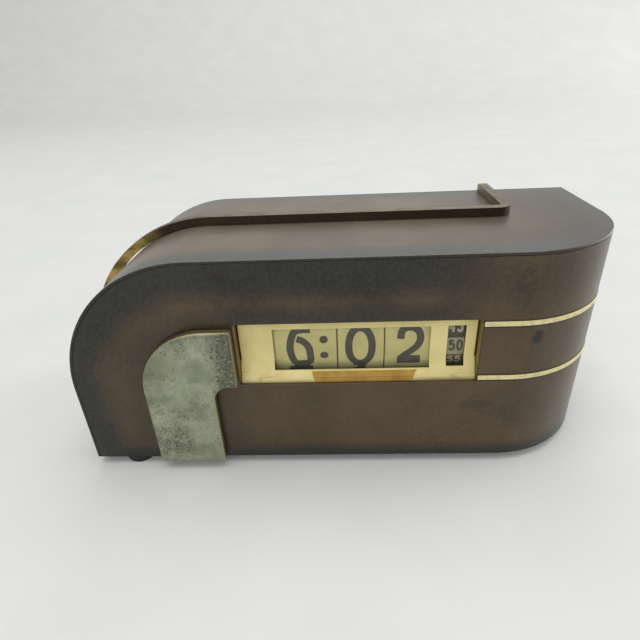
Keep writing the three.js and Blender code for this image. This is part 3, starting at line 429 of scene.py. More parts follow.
def plating():
    """Worn silver plating: mottled, with dark pits, a painted gold highlight along its rounded edges and
    painted shade on its side faces.
    """
    n = Nodes("plating")
    x, _, z = case_mm(n)
    cloud = n.noise(9, 6, 0.65)
    fine = n.noise(0.8, 6, 0.75, shift=4.0)
    color = n.ramp(cloud, 0.34, 0.66, (128, 134, 112), (160, 164, 140))
    dull = n.step(n.noise(16, 5, 0.65, shift=5.0), 0.46, 0.66)
    dull = n.most(dull, n.step(n.scaled(cloud, 8.0, x), 54, 62))
    color = n.tint(color, (102, 106, 88), dull, 0.5)
    # Pits gather along the right-hand edge and in a patch near the foot of the leg.
    wobble = n.scaled(cloud, 14.0, -7.0)
    edge = n.step(n.plus(x, wobble), 50, 60)
    patch = n.step(n.plus(distance(n, x, z, *PITTED_SPOT), wobble), 12, 4)
    wear = n.times(n.most(edge, n.times(patch, 0.65)), 0.13)
    wear = n.scaled(dull, 0.05, wear)
    pits = n.step(n.plus(fine, wear), 0.58, 0.68)
    color = n.tint(color, (66, 66, 54), pits, 0.72)
    lines = n.most(scuff(n, x, z, *PLATE_SCUFFS[0]), scuff(n, x, z, *PLATE_SCUFFS[1]))
    color = n.tint(color, (58, 56, 44), lines, 0.3)
    shade = n.step(distance(n, x, z, *SHADED_SPOT), 12, 3)
    color = n.tint(color, (92, 96, 70), shade, 0.45)
    dots = n.step(n.cells(1.9, 1.1), 0.26, 0.1)
    sparse = n.times(dots, n.step(n.noise(7, 4, 0.65, shift=8.0), 0.42, 0.56))
    color = n.tint(color, (62, 60, 50), sparse, 0.65)
    # Painted highlight: gold on the rounded edges; painted shade: brown on the side faces.
    out = n.split(n.normal())[1]
    gold = n.ramp(fine, 0.35, 0.65, (146, 128, 80), (196, 180, 122))
    color = n.tint(color, gold, n.step(out, -0.9, -0.6), 0.8)
    color = n.tint(color, (92, 80, 60), n.step(out, -0.4, -0.1), 0.85)
    rough = n.scaled(pits, 0.25, 0.38)
    height = n.minus(n.times(fine, 0.3), n.most(pits, sparse))
    n.bump(height, 0.35, 0.08)
    return n.finish(color, rough, 0.55)


def old_brass(name, light, mid, dark, spots=0.5, metallic=0.7, size=4.0):
    """Brass with brown tarnish in patches."""
    n = Nodes(name)
    cloud = n.noise(size, 6, 0.65)
    fine = n.noise(0.8, 5, 0.7, shift=2.0)
    color = n.ramp(cloud, 0.35, 0.65, mid, light)
    patch = n.step(n.plus(cloud, n.times(fine, 0.35)), 0.62, 0.78)
    color = n.tint(color, dark, patch, spots)
    rough = n.scaled(patch, 0.2, 0.32)
    n.bump(n.plus(cloud, fine), 0.15, 0.04)
    return n.finish(color, rough, metallic)


def bar_brass():
    """The handle bar: golden where hands rub it, grey-tan on top, with a painted dark reflection in brown
    on its straight front.
    """
    n = Nodes("bar_brass")
    x, _, _ = case_mm(n)
    cloud = n.noise(5, 6, 0.65, (0.5, 0.5, 1))
    fine = n.noise(0.8, 5, 0.7, shift=2.0)
    _, out, up = n.split(n.normal())
    gold = n.ramp(cloud, 0.35, 0.6, (178, 156, 84), (128, 108, 52))
    olive = n.ramp(cloud, 0.35, 0.65, (74, 66, 40), (98, 88, 56))
    tan = n.ramp(cloud, 0.35, 0.65, (134, 122, 100), (114, 101, 82))
    straight = n.step(n.plus(x, n.times(cloud, 10.0)), 20, 36)
    color = n.ramp(x, 24, 50, olive, tan)
    # Front faces and the corner toward the rear leg: gold on the curved end, elsewhere a dark brown
    # painted reflection.
    front = n.step(out, -0.75, -0.97)
    corner = n.times(n.step(out, -0.1, -0.5), n.step(up, 0.6, 0.3))
    front = n.most(front, n.times(corner, n.step(x, 155, 157)))
    brown = n.ramp(fine, 0.35, 0.65, (36, 26, 15), (60, 45, 29))
    dark = n.mix(straight, gold, brown)
    color = n.mix(front, color, dark)
    patch = n.step(n.plus(cloud, n.times(fine, 0.4)), 0.7, 0.86)
    color = n.tint(color, (62, 50, 30), patch, 0.55)
    rough = n.scaled(fine, 0.2, 0.3)
    n.bump(n.plus(cloud, fine), 0.2, 0.05)
    return n.finish(color, rough, 0.6)


def painted(name, light, dark, rough=0.55, size=12.0, staining=0.35, speck=(60, 52, 36)):
    """Aged paint with soft stains and fine specks."""
    n = Nodes(name)
    cloud = n.noise(size, 5, 0.6)
    fine = n.noise(0.7, 4, 0.6, shift=5.0)
    color = n.ramp(cloud, 0.35, 0.7, light, dark)
    stains = n.step(n.noise(size * 0.5, 6, 0.7, shift=9.0), 0.6, 0.75)
    darker = [*(part * 0.72 for part in srgb(*dark)), 1]
    color = n.tint(color, darker, stains, staining)
    specks = n.step(n.cells(3.0, 0.7), 0.07, 0.02)
    color = n.tint(color, speck, specks, 0.6)
    n.bump(n.plus(n.times(cloud, 0.5), fine), 0.12, 0.03)
    return n.finish(color, n.scaled(fine, 0.15, rough - 0.07))


def mask_paint():
    """Cream paint, darker and browner near the mask's edges, with painted shade on the lip's lower right
    edge; the sheet's back is bare and dark.
    """
    n = Nodes("mask_paint")
    x, _, z = case_mm(n)
    cloud = n.noise(14, 5, 0.6)
    fine = n.noise(0.7, 4, 0.6, shift=5.0)
    color = n.ramp(cloud, 0.35, 0.7, (224, 209, 144), (208, 192, 126))
    sides = n.least(n.minus(x, MASK_LOW.x), n.minus(MASK_HIGH.x, x))
    ends = n.least(n.minus(z, MASK_LOW.z + 0.6), n.minus(MASK_HIGH.z, z))
    inside = n.scaled(cloud, 1.6, n.least(sides, ends))
    color = n.tint(color, (132, 116, 66), n.step(inside, 1.9, 0.5), 0.6)
    stains = n.step(n.noise(7, 6, 0.7, shift=9.0), 0.58, 0.75)
    color = n.tint(color, (168, 152, 96), stains, 0.22)
    # Painted shade along the lip's lower edge, on its right part.
    lip = n.step(n.scaled(cloud, 1.2, z), OPENING[2] + 1.8, OPENING[2])
    color = n.tint(color, (104, 94, 58), n.times(lip, n.step(x, 112, 140)), 0.6)
    ridge = n.off(n.noise(12, 3, 0.5, (0.35, 1, 1), shift=3.0), 0.5)
    creases = n.times(n.step(ridge, 0.012, 0.004), n.step(inside, 5, 2))
    color = n.tint(color, (140, 124, 76), creases, 0.35)
    specks = n.step(n.cells(3.0, 0.7), 0.07, 0.02)
    color = n.tint(color, (90, 78, 48), specks, 0.5)
    color = n.ramp(n.split(n.normal())[1], 0.2, 0.6, color, (44, 40, 34))
    n.bump(n.plus(n.times(cloud, 0.5), fine), 0.12, 0.03)
    return n.finish(color, n.scaled(fine, 0.15, 0.42))


def amber_paint():
    """The amber strip: mottled, with a brown crease along its lower part."""
    n = Nodes("amber_paint")
    _, _, z = case_mm(n)
    cloud = n.noise(5, 5, 0.6)
    fine = n.noise(0.6, 4, 0.65, (0.4, 1, 1), shift=5.0)
    color = n.ramp(cloud, 0.35, 0.7, (176, 138, 46), (154, 114, 32))
    color = n.tint(color, (138, 98, 32), n.step(fine, 0.5, 0.75), 0.4)
    crease = n.step(n.off(n.scaled(cloud, 0.4, z), AMBER_CREASE), 0.28, 0.05)
    color = n.tint(color, (120, 78, 34), crease, 0.5)
    n.bump(n.plus(fine, crease), 0.2, 0.05)
    return n.finish(color, n.scaled(fine, 0.15, 0.45))


def machined(name, light, dark, metallic=0.9, rough=0.35):
    """Turned or stamped metal with fine tool marks."""
    n = Nodes(name)
    lines = n.noise(0.35, 3, 0.6, (1, 0.15, 0.15))
    cloud = n.noise(6, 5, 0.6, shift=3.0)
    color = n.ramp(cloud, 0.35, 0.65, light, dark)
    n.bump(lines, 0.12, 0.02)
    return n.finish(color, n.scaled(cloud, 0.2, rough - 0.1), metallic)


def rubber():
    """Black rubber with grey dust."""
    n = Nodes("rubber")
    fine = n.noise(0.5, 4, 0.7)
    dust = n.step(n.noise(3, 5, 0.7, shift=4.0), 0.5, 0.75)
    color = n.tint((26, 25, 24), (88, 84, 78), dust, 0.35)
    n.bump(fine, 0.25, 0.05)
    return n.finish(color, n.scaled(fine, 0.15, 0.75))


def clear_sheet():
    """A clear sheet, slightly yellowed and dusty."""
    n = Nodes("clear_sheet")
    dust = n.noise(4, 5, 0.7)
    through = n.tree.nodes.new("ShaderNodeBsdfTransparent")
    through.inputs["Color"].default_value = (0.97, 0.97, 0.93, 1)
    blend = n.tree.nodes.new("ShaderNodeMixShader")
    weight = n.tree.nodes.new("ShaderNodeFresnel")
    weight.inputs["IOR"].default_value = 1.35
    n.link(n.plus(weight.outputs[0], n.times(dust, 0.03)), blend.inputs[0])
    n.link(through.outputs[0], blend.inputs[1])
    n.link(n.shader.outputs[0], blend.inputs[2])
    n.link(blend.outputs[0], n.output.inputs[0])
    color = n.mix(dust, (214, 212, 200), (190, 188, 176))
    return n.finish(color, n.scaled(dust, 0.1, 0.06))


def laminations():
    """Stacked sheet iron with thin dark lines between the sheets."""
    n = Nodes("laminations")
    x, _, _ = case_mm(n)
    wave = n.math("FRACT", n.times(x, 1.6))
    line = n.step(wave, 0.25, 0.1)
    cloud = n.noise(5, 5, 0.6)
    color = n.ramp(cloud, 0.3, 0.7, (70, 70, 68), (96, 92, 86))
    color = n.tint(color, (28, 26, 24), line, 0.8)
    n.bump(line, 0.3, 0.1)
    return n.finish(color, n.scaled(cloud, 0.2, 0.4), 0.7)


def coil_tape():
    """Varnished cloth tape wound round the coil."""
    n = Nodes("coil_tape")
    _, y, _ = case_mm(n)
    turn = n.math("FRACT", n.times(y, 0.25))
    lap = n.step(turn, 0.85, 1.0)
    weave = n.noise(0.4, 2, 0.5)
    color = n.ramp(weave, 0.35, 0.65, (58, 38, 22), (84, 58, 34))
    color = n.tint(color, (30, 20, 12), lap, 0.6)
    n.bump(n.plus(weave, n.times(turn, 2.0)), 0.3, 0.15)
    return n.finish(color, n.scaled(weave, 0.2, 0.45))


def seconds_paint():
    """The seconds drum: pale and black blocks in turn, one for each number."""
    n = Nodes("seconds_paint")
    _, y, z = case_mm(n)
    angle = n.math("ARCTAN2", n.minus(z, SECONDS_AXIS[1]), n.minus(SECONDS_AXIS[0], y))
    block = n.scaled(angle, SECONDS_COUNT / math.tau, 0.5 + SECONDS_COUNT)
    odd = n.math("MODULO", n.math("FLOOR", block), 2.0)
    edge = n.math("FRACT", block)
    dim = n.noise(3, 5, 0.65)
    pale = n.ramp(dim, 0.35, 0.7, (186, 182, 150), (160, 156, 126))
    black = n.ramp(dim, 0.35, 0.7, (48, 42, 36), (66, 58, 50))
    color = n.mix(odd, pale, black)
    n.bump(n.plus(dim, n.step(edge, 0.0, 0.03)), 0.1, 0.03)
    return n.finish(color, n.scaled(dim, 0.1, 0.5))


def floor_paint():
    """Matt pale paper."""
    n = Nodes("floor")
    cloud = n.noise(60, 4, 0.5)
    fibre = n.noise(0.8, 3, 0.6, shift=1.0)
    n.bump(fibre, 0.05, 0.05)
    return n.finish(n.ramp(cloud, 0.3, 0.7, (211, 211, 208), (206, 207, 204)), 0.75)


# ---------------- mesh tools


def smooth(bm, angle):
    """Turns all faces outward and shades smoothly across edges flatter than the angle."""
    bmesh.ops.recalc_face_normals(bm, faces=bm.faces)
    for face in bm.faces:
        face.smooth = True
    for edge in bm.edges:
        edge.smooth = len(edge.link_faces) == 2 and edge.calc_face_angle(0) < math.radians(angle)


def new_object(name, bm, material):
    """A finished mesh as an object."""
    mesh = bpy.data.meshes.new(name)
    smooth(bm, 30)
    bm.to_mesh(mesh)
    bm.free()
    if material:
        mesh.materials.append(material)
    piece = bpy.data.objects.new(name, mesh)
    bpy.context.scene.collection.objects.link(piece)
    return piece


# The CAD nodes that a piece stands for so far.
REMADE = set()


def settle(piece, body, slot, *nodes):
    """Ties a piece to its body and the CAD nodes it stands for; slot is not used."""
    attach(piece, body)
    if nodes:
        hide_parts(*nodes)
        REMADE.update(nodes)


def bevel(bm, width_mm, segments, angle):
    """Rounds every edge sharper than the angle."""
    sharp = [e for e in bm.edges if len(e.link_faces) == 2
             and e.calc_face_angle(0) > math.radians(angle)]
    bmesh.ops.bevel(bm, geom=sharp, offset=width_mm * MM, segments=segments, profile=0.5,
                    affect="EDGES", clamp_overlap=True)


def skin(bm, rings, around):
    """Joins each closed ring of vertices to the next, and around also the last to the first."""
    for i in range(len(rings) if around else len(rings) - 1):
        ring, after = rings[i], rings[(i + 1) % len(rings)]
        for k in range(len(ring)):
            m = (k + 1) % len(ring)
            bm.faces.new((ring[k], ring[m], after[m], after[k]))


def prism(bm, outline, low, high, place):
    """A closed outline of (a, b) points carried from low to high; place(a, b, c) gives the point."""
    bottom = [bm.verts.new(place(a, b, low)) for a, b in outline]
    top = [bm.verts.new(place(a, b, high)) for a, b in outline]
    bm.faces.new(bottom)
    bm.faces.new(list(reversed(top)))
    skin(bm, [top, bottom], False)


def arc(cx, cy, radius, start, end, steps):
    """Points along an arc, angles in degrees."""
    turn = [math.radians(start + (end - start) * i / steps) for i in range(steps + 1)]
    return [(cx + radius * math.cos(a), cy + radius * math.sin(a)) for a in turn]


def front_place(a, b, c):
    """For outlines drawn in the front view."""
    return at(a, c, b)


def plan_place(a, b, c):
    """For outlines drawn in the plan."""
    return at(a, b, c)


def side_place(a, b, c):
    """For outlines drawn in the side view."""
    return at(c, a, b)


def lathe(bm, profile, axis, centre, sides):
    """Turns a closed profile of (radius, station) points about a line along X, Y or Z.

    centre is where the line crosses the plane of the other two axes.
    """
    rings = []
    for i in range(sides):
        a = math.tau * i / sides
        ring = []
        for r, s in profile:
            point = [centre[0] + r * math.cos(a), centre[1] + r * math.sin(a)]
            point.insert("XYZ".index(axis), s)
            ring.append(bm.verts.new(at(*point)))
        rings.append(ring)
    skin(bm, rings, True)


def apply_modifiers(piece):
    """Puts the mesh that the modifiers make in place of the piece's own."""
    graph = bpy.context.evaluated_depsgraph_get()
    graph.update()
    mesh = bpy.data.meshes.new_from_object(piece.evaluated_get(graph))
    old = piece.data
    piece.modifiers.clear()
    piece.data = mesh
    bpy.data.meshes.remove(old)


def boolean(piece, tool, operation="DIFFERENCE"):
    """Cuts, joins or intersects one mesh object with another and removes the other."""
    modifier = piece.modifiers.new("boolean", "BOOLEAN")
    modifier.operation = operation
    modifier.solver = "EXACT"
    modifier.object = tool
    apply_modifiers(piece)
    bpy.data.objects.remove(tool)


def solid(name, outline, low, high, place):
    """A plain closed prism as an object, to be cut and rounded later."""
    bm = bmesh.new()
    prism(bm, outline, low, high, place)
    return new_object(name, bm, None)


def round_off(piece, material, width_mm, segments):
    """Merges flat faces, rounds the sharp edges and smooths the rest; flat faces stay flat."""
    bm = bmesh.new()
    bm.from_mesh(piece.data)
    bmesh.ops.remove_doubles(bm, verts=bm.verts, dist=0.002 * MM)
    bmesh.ops.dissolve_limit(bm, angle_limit=math.radians(0.3), verts=bm.verts, edges=bm.edges)
    if width_mm:
        bevel(bm, width_mm, segments, 32)
    smooth(bm, 40)
    bm.to_mesh(piece.data)
    bm.free()
    piece.data.materials.clear()
    piece.data.materials.append(material)
    weighted = piece.modifiers.new("normals", "WEIGHTED_NORMAL")
    weighted.keep_sharp = True
    apply_modifiers(piece)


# ---------------- case


def nose_arc(offset, backward=False):
    """The plan's rounded right front corner, offset outward."""
    ends = (0, -90) if backward else (-90, 0)
    return arc(CASE_LENGTH - NOSE, NOSE, NOSE + offset, *ends, ARC)


def shoulder_arc(inset, backward=False):
    """The front view's rounded upper left corner."""
    ends = (180, 90) if backward else (90, 180)
    return arc(SHOULDER, CASE_HEIGHT - SHOULDER, SHOULDER - inset, *ends, ARC)


def make_front():
    """The sheet of the front and the rounded right-hand end, cut to fit under the top."""
    wall = [(0, 0), *nose_arc(0), (CASE_LENGTH, CASE_DEPTH), (CASE_LENGTH - SHEET, CASE_DEPTH),
            *nose_arc(-SHEET, True), (0, SHEET)]
    front = solid("case_front", wall, 0, CASE_HEIGHT, plan_place)
    inset = SHEET + 0.02
    past_right = CASE_LENGTH + PAST
    under = [(past_right, 0), (past_right, CASE_HEIGHT - inset), *shoulder_arc(inset), (inset, 0)]
    boolean(front, solid("cutter", under, -PAST, CASE_DEPTH + PAST, front_place), "INTERSECT")
    left, right, bottom, top = OPENING
    opening = [(left, bottom), (right, bottom), (right, top), (left, top)]
    boolean(front, solid("cutter", opening, -PAST, SHEET + PAST, front_place))
    round_off(front, MATERIALS["bronze_front"], 0.22, 2)
    settle(front, "case", "bronze_front", "front_panel")


def make_top():
    """The sheet of the top, the rounded left shoulder and the left side."""
    strip = [(CASE_LENGTH, CASE_HEIGHT), *shoulder_arc(0), (0, 0), (SHEET, 0), *shoulder_arc(SHEET, True),
             (CASE_LENGTH, CASE_HEIGHT - SHEET)]
    top = solid("case_top", strip, 0, CASE_DEPTH, front_place)
    plan = [(0, 0), *nose_arc(0), (CASE_LENGTH, CASE_DEPTH), (0, CASE_DEPTH)]
    boolean(top, solid("cutter", plan, -PAST, CASE_HEIGHT + PAST, plan_place), "INTERSECT")
    round_off(top, MATERIALS["bronze_top"], 0.35, 3)
    settle(top, "case", "bronze_top", "top_panel")


def make_fender():
    """The plated plate, an arm to the window and a leg to the foot, with two hidden studs."""
    left, top = FENDER_LOW.x, FENDER_HIGH.z
    outer = arc(left + FENDER_SHOULDER, top - FENDER_SHOULDER, FENDER_SHOULDER, 90, 180, ARC)
    notch = arc(FENDER_LEG + FENDER_NOTCH, FENDER_ARM - FENDER_NOTCH, FENDER_NOTCH, 180, 90, 24)
    outline = [(left, FENDER_LOW.z), (FENDER_LEG, FENDER_LOW.z), *notch, (FENDER_HIGH.x, FENDER_ARM),
               (FENDER_HIGH.x, top), *outer]
    plate = solid("fender", outline, FENDER_LOW.y, -0.1, front_place)
    round_off(plate, MATERIALS["worn_plating"], 0.8, 4)
    stud = [(AXIS, -1), (1.4, -1), (1.4, 4.6), (1.0, 5), (AXIS, 5)]
    studs = bmesh.new()
    studs.from_mesh(plate.data)
    for spot in FENDER_STUDS:
        lathe(studs, stud, "Y", spot, 32)
    studs.to_mesh(plate.data)
    studs.free()
    settle(plate, "case", "worn_plating", "fender_plate")


def make_bar():
    """The square bar: up the left end, along the top and back to the rear edge."""
    low, high = case_box("handle_bar")
    front, corner = low.y, high.x
    bend_x, bend_z = BAR_BEND
    outer = high.z - bend_z
    inner = outer - BAR_RISE
    under = high.z - BAR_RISE
    turn_x, turn_y = corner - BAR_CORNER, front + BAR_CORNER
    joint = turn_x + 0.1
    run = [(joint, under), (joint, high.z), *arc(bend_x, bend_z, outer, 90, 180, ARC),
           (bend_x - outer, low.z), (bend_x - inner, low.z), *arc(bend_x, bend_z, inner, 180, 90, ARC)]
    bar = solid("handle_bar_piece", run, front, front + BAR_WIDTH, front_place)
    tip_y = CASE_DEPTH - BAR_TIP
    leg = [*arc(turn_x, turn_y, BAR_CORNER, -90, 0, 24),
           *arc(corner - BAR_TIP, tip_y, BAR_TIP, 0, 90, 12),
           *arc(corner - BAR_WIDTH + BAR_TIP, tip_y, BAR_TIP, 90, 180, 12),
           *arc(turn_x, turn_y, BAR_CORNER - BAR_WIDTH, 0, -90, 12)]
    rear = solid("cutter", leg, under, high.z, plan_place)
    end = [(front - PAST, under), *arc(CASE_DEPTH - BAR_RISE, under, BAR_RISE, 0, 90, 32),
           (front - PAST, high.z)]
    boolean(rear, solid("cutter", end, turn_x - PAST, corner + PAST, side_place), "INTERSECT")
    boolean(bar, rear, "UNION")
    round_off(bar, MATERIALS["bar_brass"], 0.65, 4)
    settle(bar, "case", "bar_brass", "handle_bar")


def make_trim(node):
    """A brass line that stands a little proud of the front and the rounded end."""
    low, high = case_box(node)
    near, far = 0.05, 0.3
    band = [(low.x, -far), *nose_arc(far), (CASE_LENGTH + far, high.y), (CASE_LENGTH + near, high.y),
            *nose_arc(near, True), (low.x, -near)]
    line = solid(node + "_band", band, low.z, high.z, plan_place)
    round_off(line, MATERIALS["trim_brass"], 0.1, 3)
    settle(line, "case", "trim_brass", node)


def make_strip():
    """The blank amber strip on the mask's lip, torn a little at both ends."""
    low, high = case_box("amber_strip")
    rows, steps = 7, 40
    thick, tear = 0.12, 0.25
    rng = random.Random(4)
    left = [low.x - 0.7 + 1.92 * (1 - r / rows) + rng.uniform(-tear, tear) for r in range(rows + 1)]
    right = [high.x + 0.9 - 1.8 * (1 - r / rows) + rng.uniform(-tear, tear) for r in range(rows + 1)]
    lean = (low.y + 0.075, high.y - 0.075)
    bm = bmesh.new()
    columns = []
    up_and_down = [(r, -thick / 2) for r in range(rows + 1)]
    up_and_down += [(r, thick / 2) for r in range(rows, -1, -1)]
    for i in range(steps + 1):
        column = []
        for r, side in up_and_down:
            x = left[r] + (right[r] - left[r]) * i / steps
            y = lean[0] + (lean[1] - lean[0]) * r / rows + side
            z = low.z + (high.z - low.z) * r / rows
            column.append(bm.verts.new(at(x, y, z)))
        columns.append(column)
    skin(bm, columns, False)
    for column in (columns[0], columns[-1]):
        for r in range(rows):
            bm.faces.new((column[r], column[r + 1], column[-2 - r], column[-1 - r]))
    piece = new_object("amber_label", bm, MATERIALS["amber_strip"])
    settle(piece, "case", "amber_strip", "amber_strip")


# ---------------- drums and numerals

# Strokes of each numeral between -1 and 1 both ways: a closed curve (True), an open curve
# (False) or a straight line (None), with its points.
# Painted shade: the low bars under 0 and 6 thicken the numerals' feet in ink.
GLYPHS = {
    "0": [(True, [(-0.35, 1), (0.35, 1), (0.85, 0.6), (1, 0), (0.85, -0.6), (0.35, -1), (-0.35, -1),
                  (-0.85, -0.6), (-1, 0), (-0.85, 0.6)]), (None, [(-0.6, -1.08), (0.6, -1.08)])],
    "1": [(None, [(-0.5, 0.62), (0.15, 1.05)]), (None, [(0.15, 1.2), (0.15, -1.2)])],
    "2": [(False, [(-0.95, 0.4), (-0.85, 0.8), (-0.4, 1), (0.3, 1), (0.85, 0.78), (1, 0.4),
                   (0.72, 0.0), (0.05, -0.35), (-0.65, -0.65), (-0.92, -1)]),
          (None, [(-1.25, -0.97), (1.1, -0.97)]), (None, [(-1.22, -0.8), (1.07, -0.8)])],
    "3": [(False, [(-0.95, 0.6), (-0.5, 0.98), (0.3, 0.98), (0.9, 0.7), (0.8, 0.25), (0, 0.08)]),
          (False, [(-0.1, 0.08), (0.85, -0.12), (1, -0.6), (0.5, -1), (-0.4, -1), (-1, -0.6)])],
    "4": [(None, [(0.25, 1.2), (-1.0, -0.35)]), (None, [(-1.3, -0.42), (1.3, -0.42)]),
          (None, [(0.5, 1.2), (0.5, -1.2)])],
    "5": [(None, [(-0.9, 1), (1.0, 1)]), (None, [(-0.8, 1.15), (-0.8, 0.1)]),
          (False, [(-0.8, 0.1), (-0.2, 0.35), (0.6, 0.28), (1, -0.1), (0.95, -0.6), (0.4, -1),
                   (-0.4, -1), (-1, -0.6)])],
    "6": [(False, [(1.1, 1), (0.1, 1), (-0.6, 0.82), (-1, 0.1), (-0.9, -0.5), (-0.55, -0.95), (0.2, -1),
                   (0.95, -0.9), (1, -0.4), (0.85, 0.05), (0.3, 0.38), (-0.3, 0.5)]),
          (None, [(-0.75, -1.1), (0.95, -1.1)])],
    "7": [(None, [(-1.2, 1), (1.2, 1)]), (False, [(1.0, 0.95), (0.45, 0.1), (0.1, -0.5), (0, -1.2)])],
    "8": [(True, [(0, 1), (0.75, 0.8), (0.78, 0.3), (0, 0.07), (-0.78, 0.3), (-0.75, 0.8)]),
          (True, [(0, 0.07), (0.9, -0.2), (0.92, -0.75), (0, -1), (-0.92, -0.75), (-0.9, -0.2)])],
}
GLYPHS["9"] = [(kind, [(-x, -y) for x, y in points]) for kind, points in GLYPHS["6"]]


def smooth_path(points, closed, steps=8):
    """A curve through the points, with Catmull-Rom spans between them."""
    count = len(points)
    spans = count if closed else count - 1
    path = []
    for i in range(spans):
        if closed:
            a, b, c, d = (Vector(points[(i + k) % count]) for k in (-1, 0, 1, 2))
        else:
            a, b, c, d = (Vector(points[min(max(i + k, 0), count - 1)]) for k in (-1, 0, 1, 2))
        for s in range(steps):
            t = s / steps
            path.append(0.5 * ((2 * b) + (c - a) * t + (2 * a - 5 * b + 4 * c - d) * t * t
                               + (3 * b - a - 3 * c + d) * t * t * t))
    if not closed:
        path.append(Vector(points[-1]))
    return path


def ribbon(bm, path, width, closed, place, lift):
    """A raised stroke along a flat path; place(x, s, h) puts it on the drum."""
    count = len(path)
    rings = []
    for i, point in enumerate(path):
        before = path[i - 1] if closed or i else point
        after = path[(i + 1) % count] if closed or i < count - 1 else point
        along = (after - before).normalized()
        side = Vector((-along.y, along.x)) * width / 2
        left, right = point + side, point - side
        rings.append([bm.verts.new(place(*left, -PRINT)), bm.verts.new(place(*left, lift)),
                      bm.verts.new(place(*right, lift)), bm.verts.new(place(*right, -PRINT))])
    skin(bm, rings, closed)
    if not closed:
        bm.faces.new(rings[0])
        bm.faces.new(list(reversed(rings[-1])))


def write(bm, text, centre, size, stroke, pitch, place):
    """Numerals side by side, centred on (x, s); size is each numeral's width and height."""
    first = centre[0] - pitch * (len(text) - 1) / 2
    half_w, half_h = (size[0] - stroke) / 2, (size[1] - stroke) / 2
    for index, char in enumerate(text):
        lift = PRINT
        for kind, points in GLYPHS[char]:
            if kind is None:
                start, end = (Vector(point) for point in points)
                path = [start.lerp(end, k / LINE_STEPS) for k in range(LINE_STEPS + 1)]
            else:
                path = smooth_path(points, kind)
            x = first + index * pitch
            path = [Vector((x + p.x * half_w, centre[1] + p.y * half_h)) for p in path]
            ribbon(bm, path, stroke, bool(kind), place, lift)
            lift += PRINT_STEP


def on_drum(axis, radius):
    """Places print on a drum: x along it, s millimetres up its front from the horizontal."""
    def place(x, s, h):
        a = s / radius
        r = radius + h
        return at(x, axis[0] - r * math.cos(a), axis[1] + r * math.sin(a))
    return place


def drum_profile(radius, span, bore, hub, hub_right, rim, edge):
    """A drum's section: bore, rim with chamfered edges, a web at the left and a hub."""
    left, right = span
    return [(bore, left), (radius - edge, left), (radius, left + edge), (radius, right - edge),
            (radius - edge, right), (radius - rim, right), (radius - rim, left + DRUM_WEB),
            (hub, left + DRUM_WEB), (hub, hub_right), (bore, hub_right)]


def gear_ring(bm, axis, pitch, teeth, phase, span):
    """A toothed ring round the drum's hub."""
    outline = []
    for tooth in range(teeth):
        for share, height in TOOTH:
            a = phase + (tooth + share) * math.tau / teeth
            r = pitch + height
            outline.append((axis[0] + r * math.cos(a), axis[1] + r * math.sin(a)))
    prism(bm, outline, *span, side_place)


def make_drum(node, body, span, texts, digits, ring):
    """A number drum with its numerals; each next number stands below the one before.

    digits gives the centre and width of a numeral by how many stand side by side, and ring
    the gear on the hub: pitch radius, teeth, phase and span.
    """
    _, high = case_box(node)
    bore, hub, rim, edge = 2.06, 6.5, 1.4, 0.25
    hub_right = min(high.x - 1.0, span[1] + 0.6)
    bm = bmesh.new()
    lathe(bm, drum_profile(DRUM_RADIUS, span, bore, hub, hub_right, rim, edge), "X", DRUM_AXIS, 180)
    gear_ring(bm, DRUM_AXIS, *ring)
    settle(new_object(node + "_rim", bm, MATERIALS["drum_cream"]), body, "drum_cream", node)

    bm = bmesh.new()
    place = on_drum(DRUM_AXIS, DRUM_RADIUS)
    step = math.tau * DRUM_RADIUS / len(texts)
    for index, text in enumerate(texts):
        s = 0.1 - index * step
        centre, width = digits[len(text)]
        write(bm, text, (centre, s), (width, DIGIT_HEIGHT), DIGIT_STROKE, width + DIGIT_GAP, place)
        if node == "hour_drum":
            for colon_s in COLON_RISES:
                dot = arc(COLON_X, s + colon_s, COLON_RADIUS, 0, 360, 40)[:-1]
                prism(bm, dot, -PRINT, PRINT, place)
    settle(new_object(node + "_rim_numerals", bm, INK), body, "drum_cream")


def make_seconds():
    """The seconds drum with numbers every five seconds, dark and pale in turn."""
    low, high = case_box("seconds_drum")
    bore, hub, rim, edge = 1.56, 4, 1, 0.2
    bm = bmesh.new()
    profile = drum_profile(SECONDS_RADIUS, (low.x, high.x), bore, hub, high.x, rim, edge)
    lathe(bm, profile, "X", SECONDS_AXIS, 144)
    settle(new_object("seconds_drum_rim", bm, seconds_paint()), "seconds", "drum_black", "seconds_drum")
    place = on_drum(SECONDS_AXIS, SECONDS_RADIUS)
    step = math.tau * SECONDS_RADIUS / SECONDS_COUNT
    for parity, name, ink in ((0, "seconds_numerals_dark", INK), (1, "seconds_numerals_pale", PALE_INK)):
        bm = bmesh.new()
        for index in range(parity, SECONDS_COUNT, 2):
            text = f"{(50 + 5 * index) % 60:02d}"
            centre = (138.5, 0.6 - index * step)
            write(bm, text, centre, SECONDS_DIGIT, SECONDS_STROKE, SECONDS_PITCH, place)
        settle(new_object(name, bm, ink), "seconds", "drum_black")


def make_drums():
    """The drums, showing 6:02 and 50 seconds."""
    hours = [str((5 + i) % 12 + 1) for i in range(12)]
    make_drum("hour_drum", "hours", (73, 96.5), hours, {1: (83.35, 9.7), 2: (82.2, 7.6)},
              (12, 24, math.pi, (89.7, 92.1)))
    tens = [str(i % 6) for i in range(12)]
    make_drum("tens_drum", "tens", (96.9, 113.3), tens, {1: (104.93, 10.9)},
              (12, 24, math.pi, (106.5, 108.9)))
    minutes = [str((2 + i) % 10) for i in range(10)]
    phase = math.atan2(IDLER_AXIS[1] - DRUM_AXIS[1], IDLER_AXIS[0] - DRUM_AXIS[0])
    make_drum("minute_drum", "minutes", (113.7, 130.2), minutes, {1: (122.5, 9.7)},
              (10, 20, phase, (130.6, 132.1)))
    make_seconds()


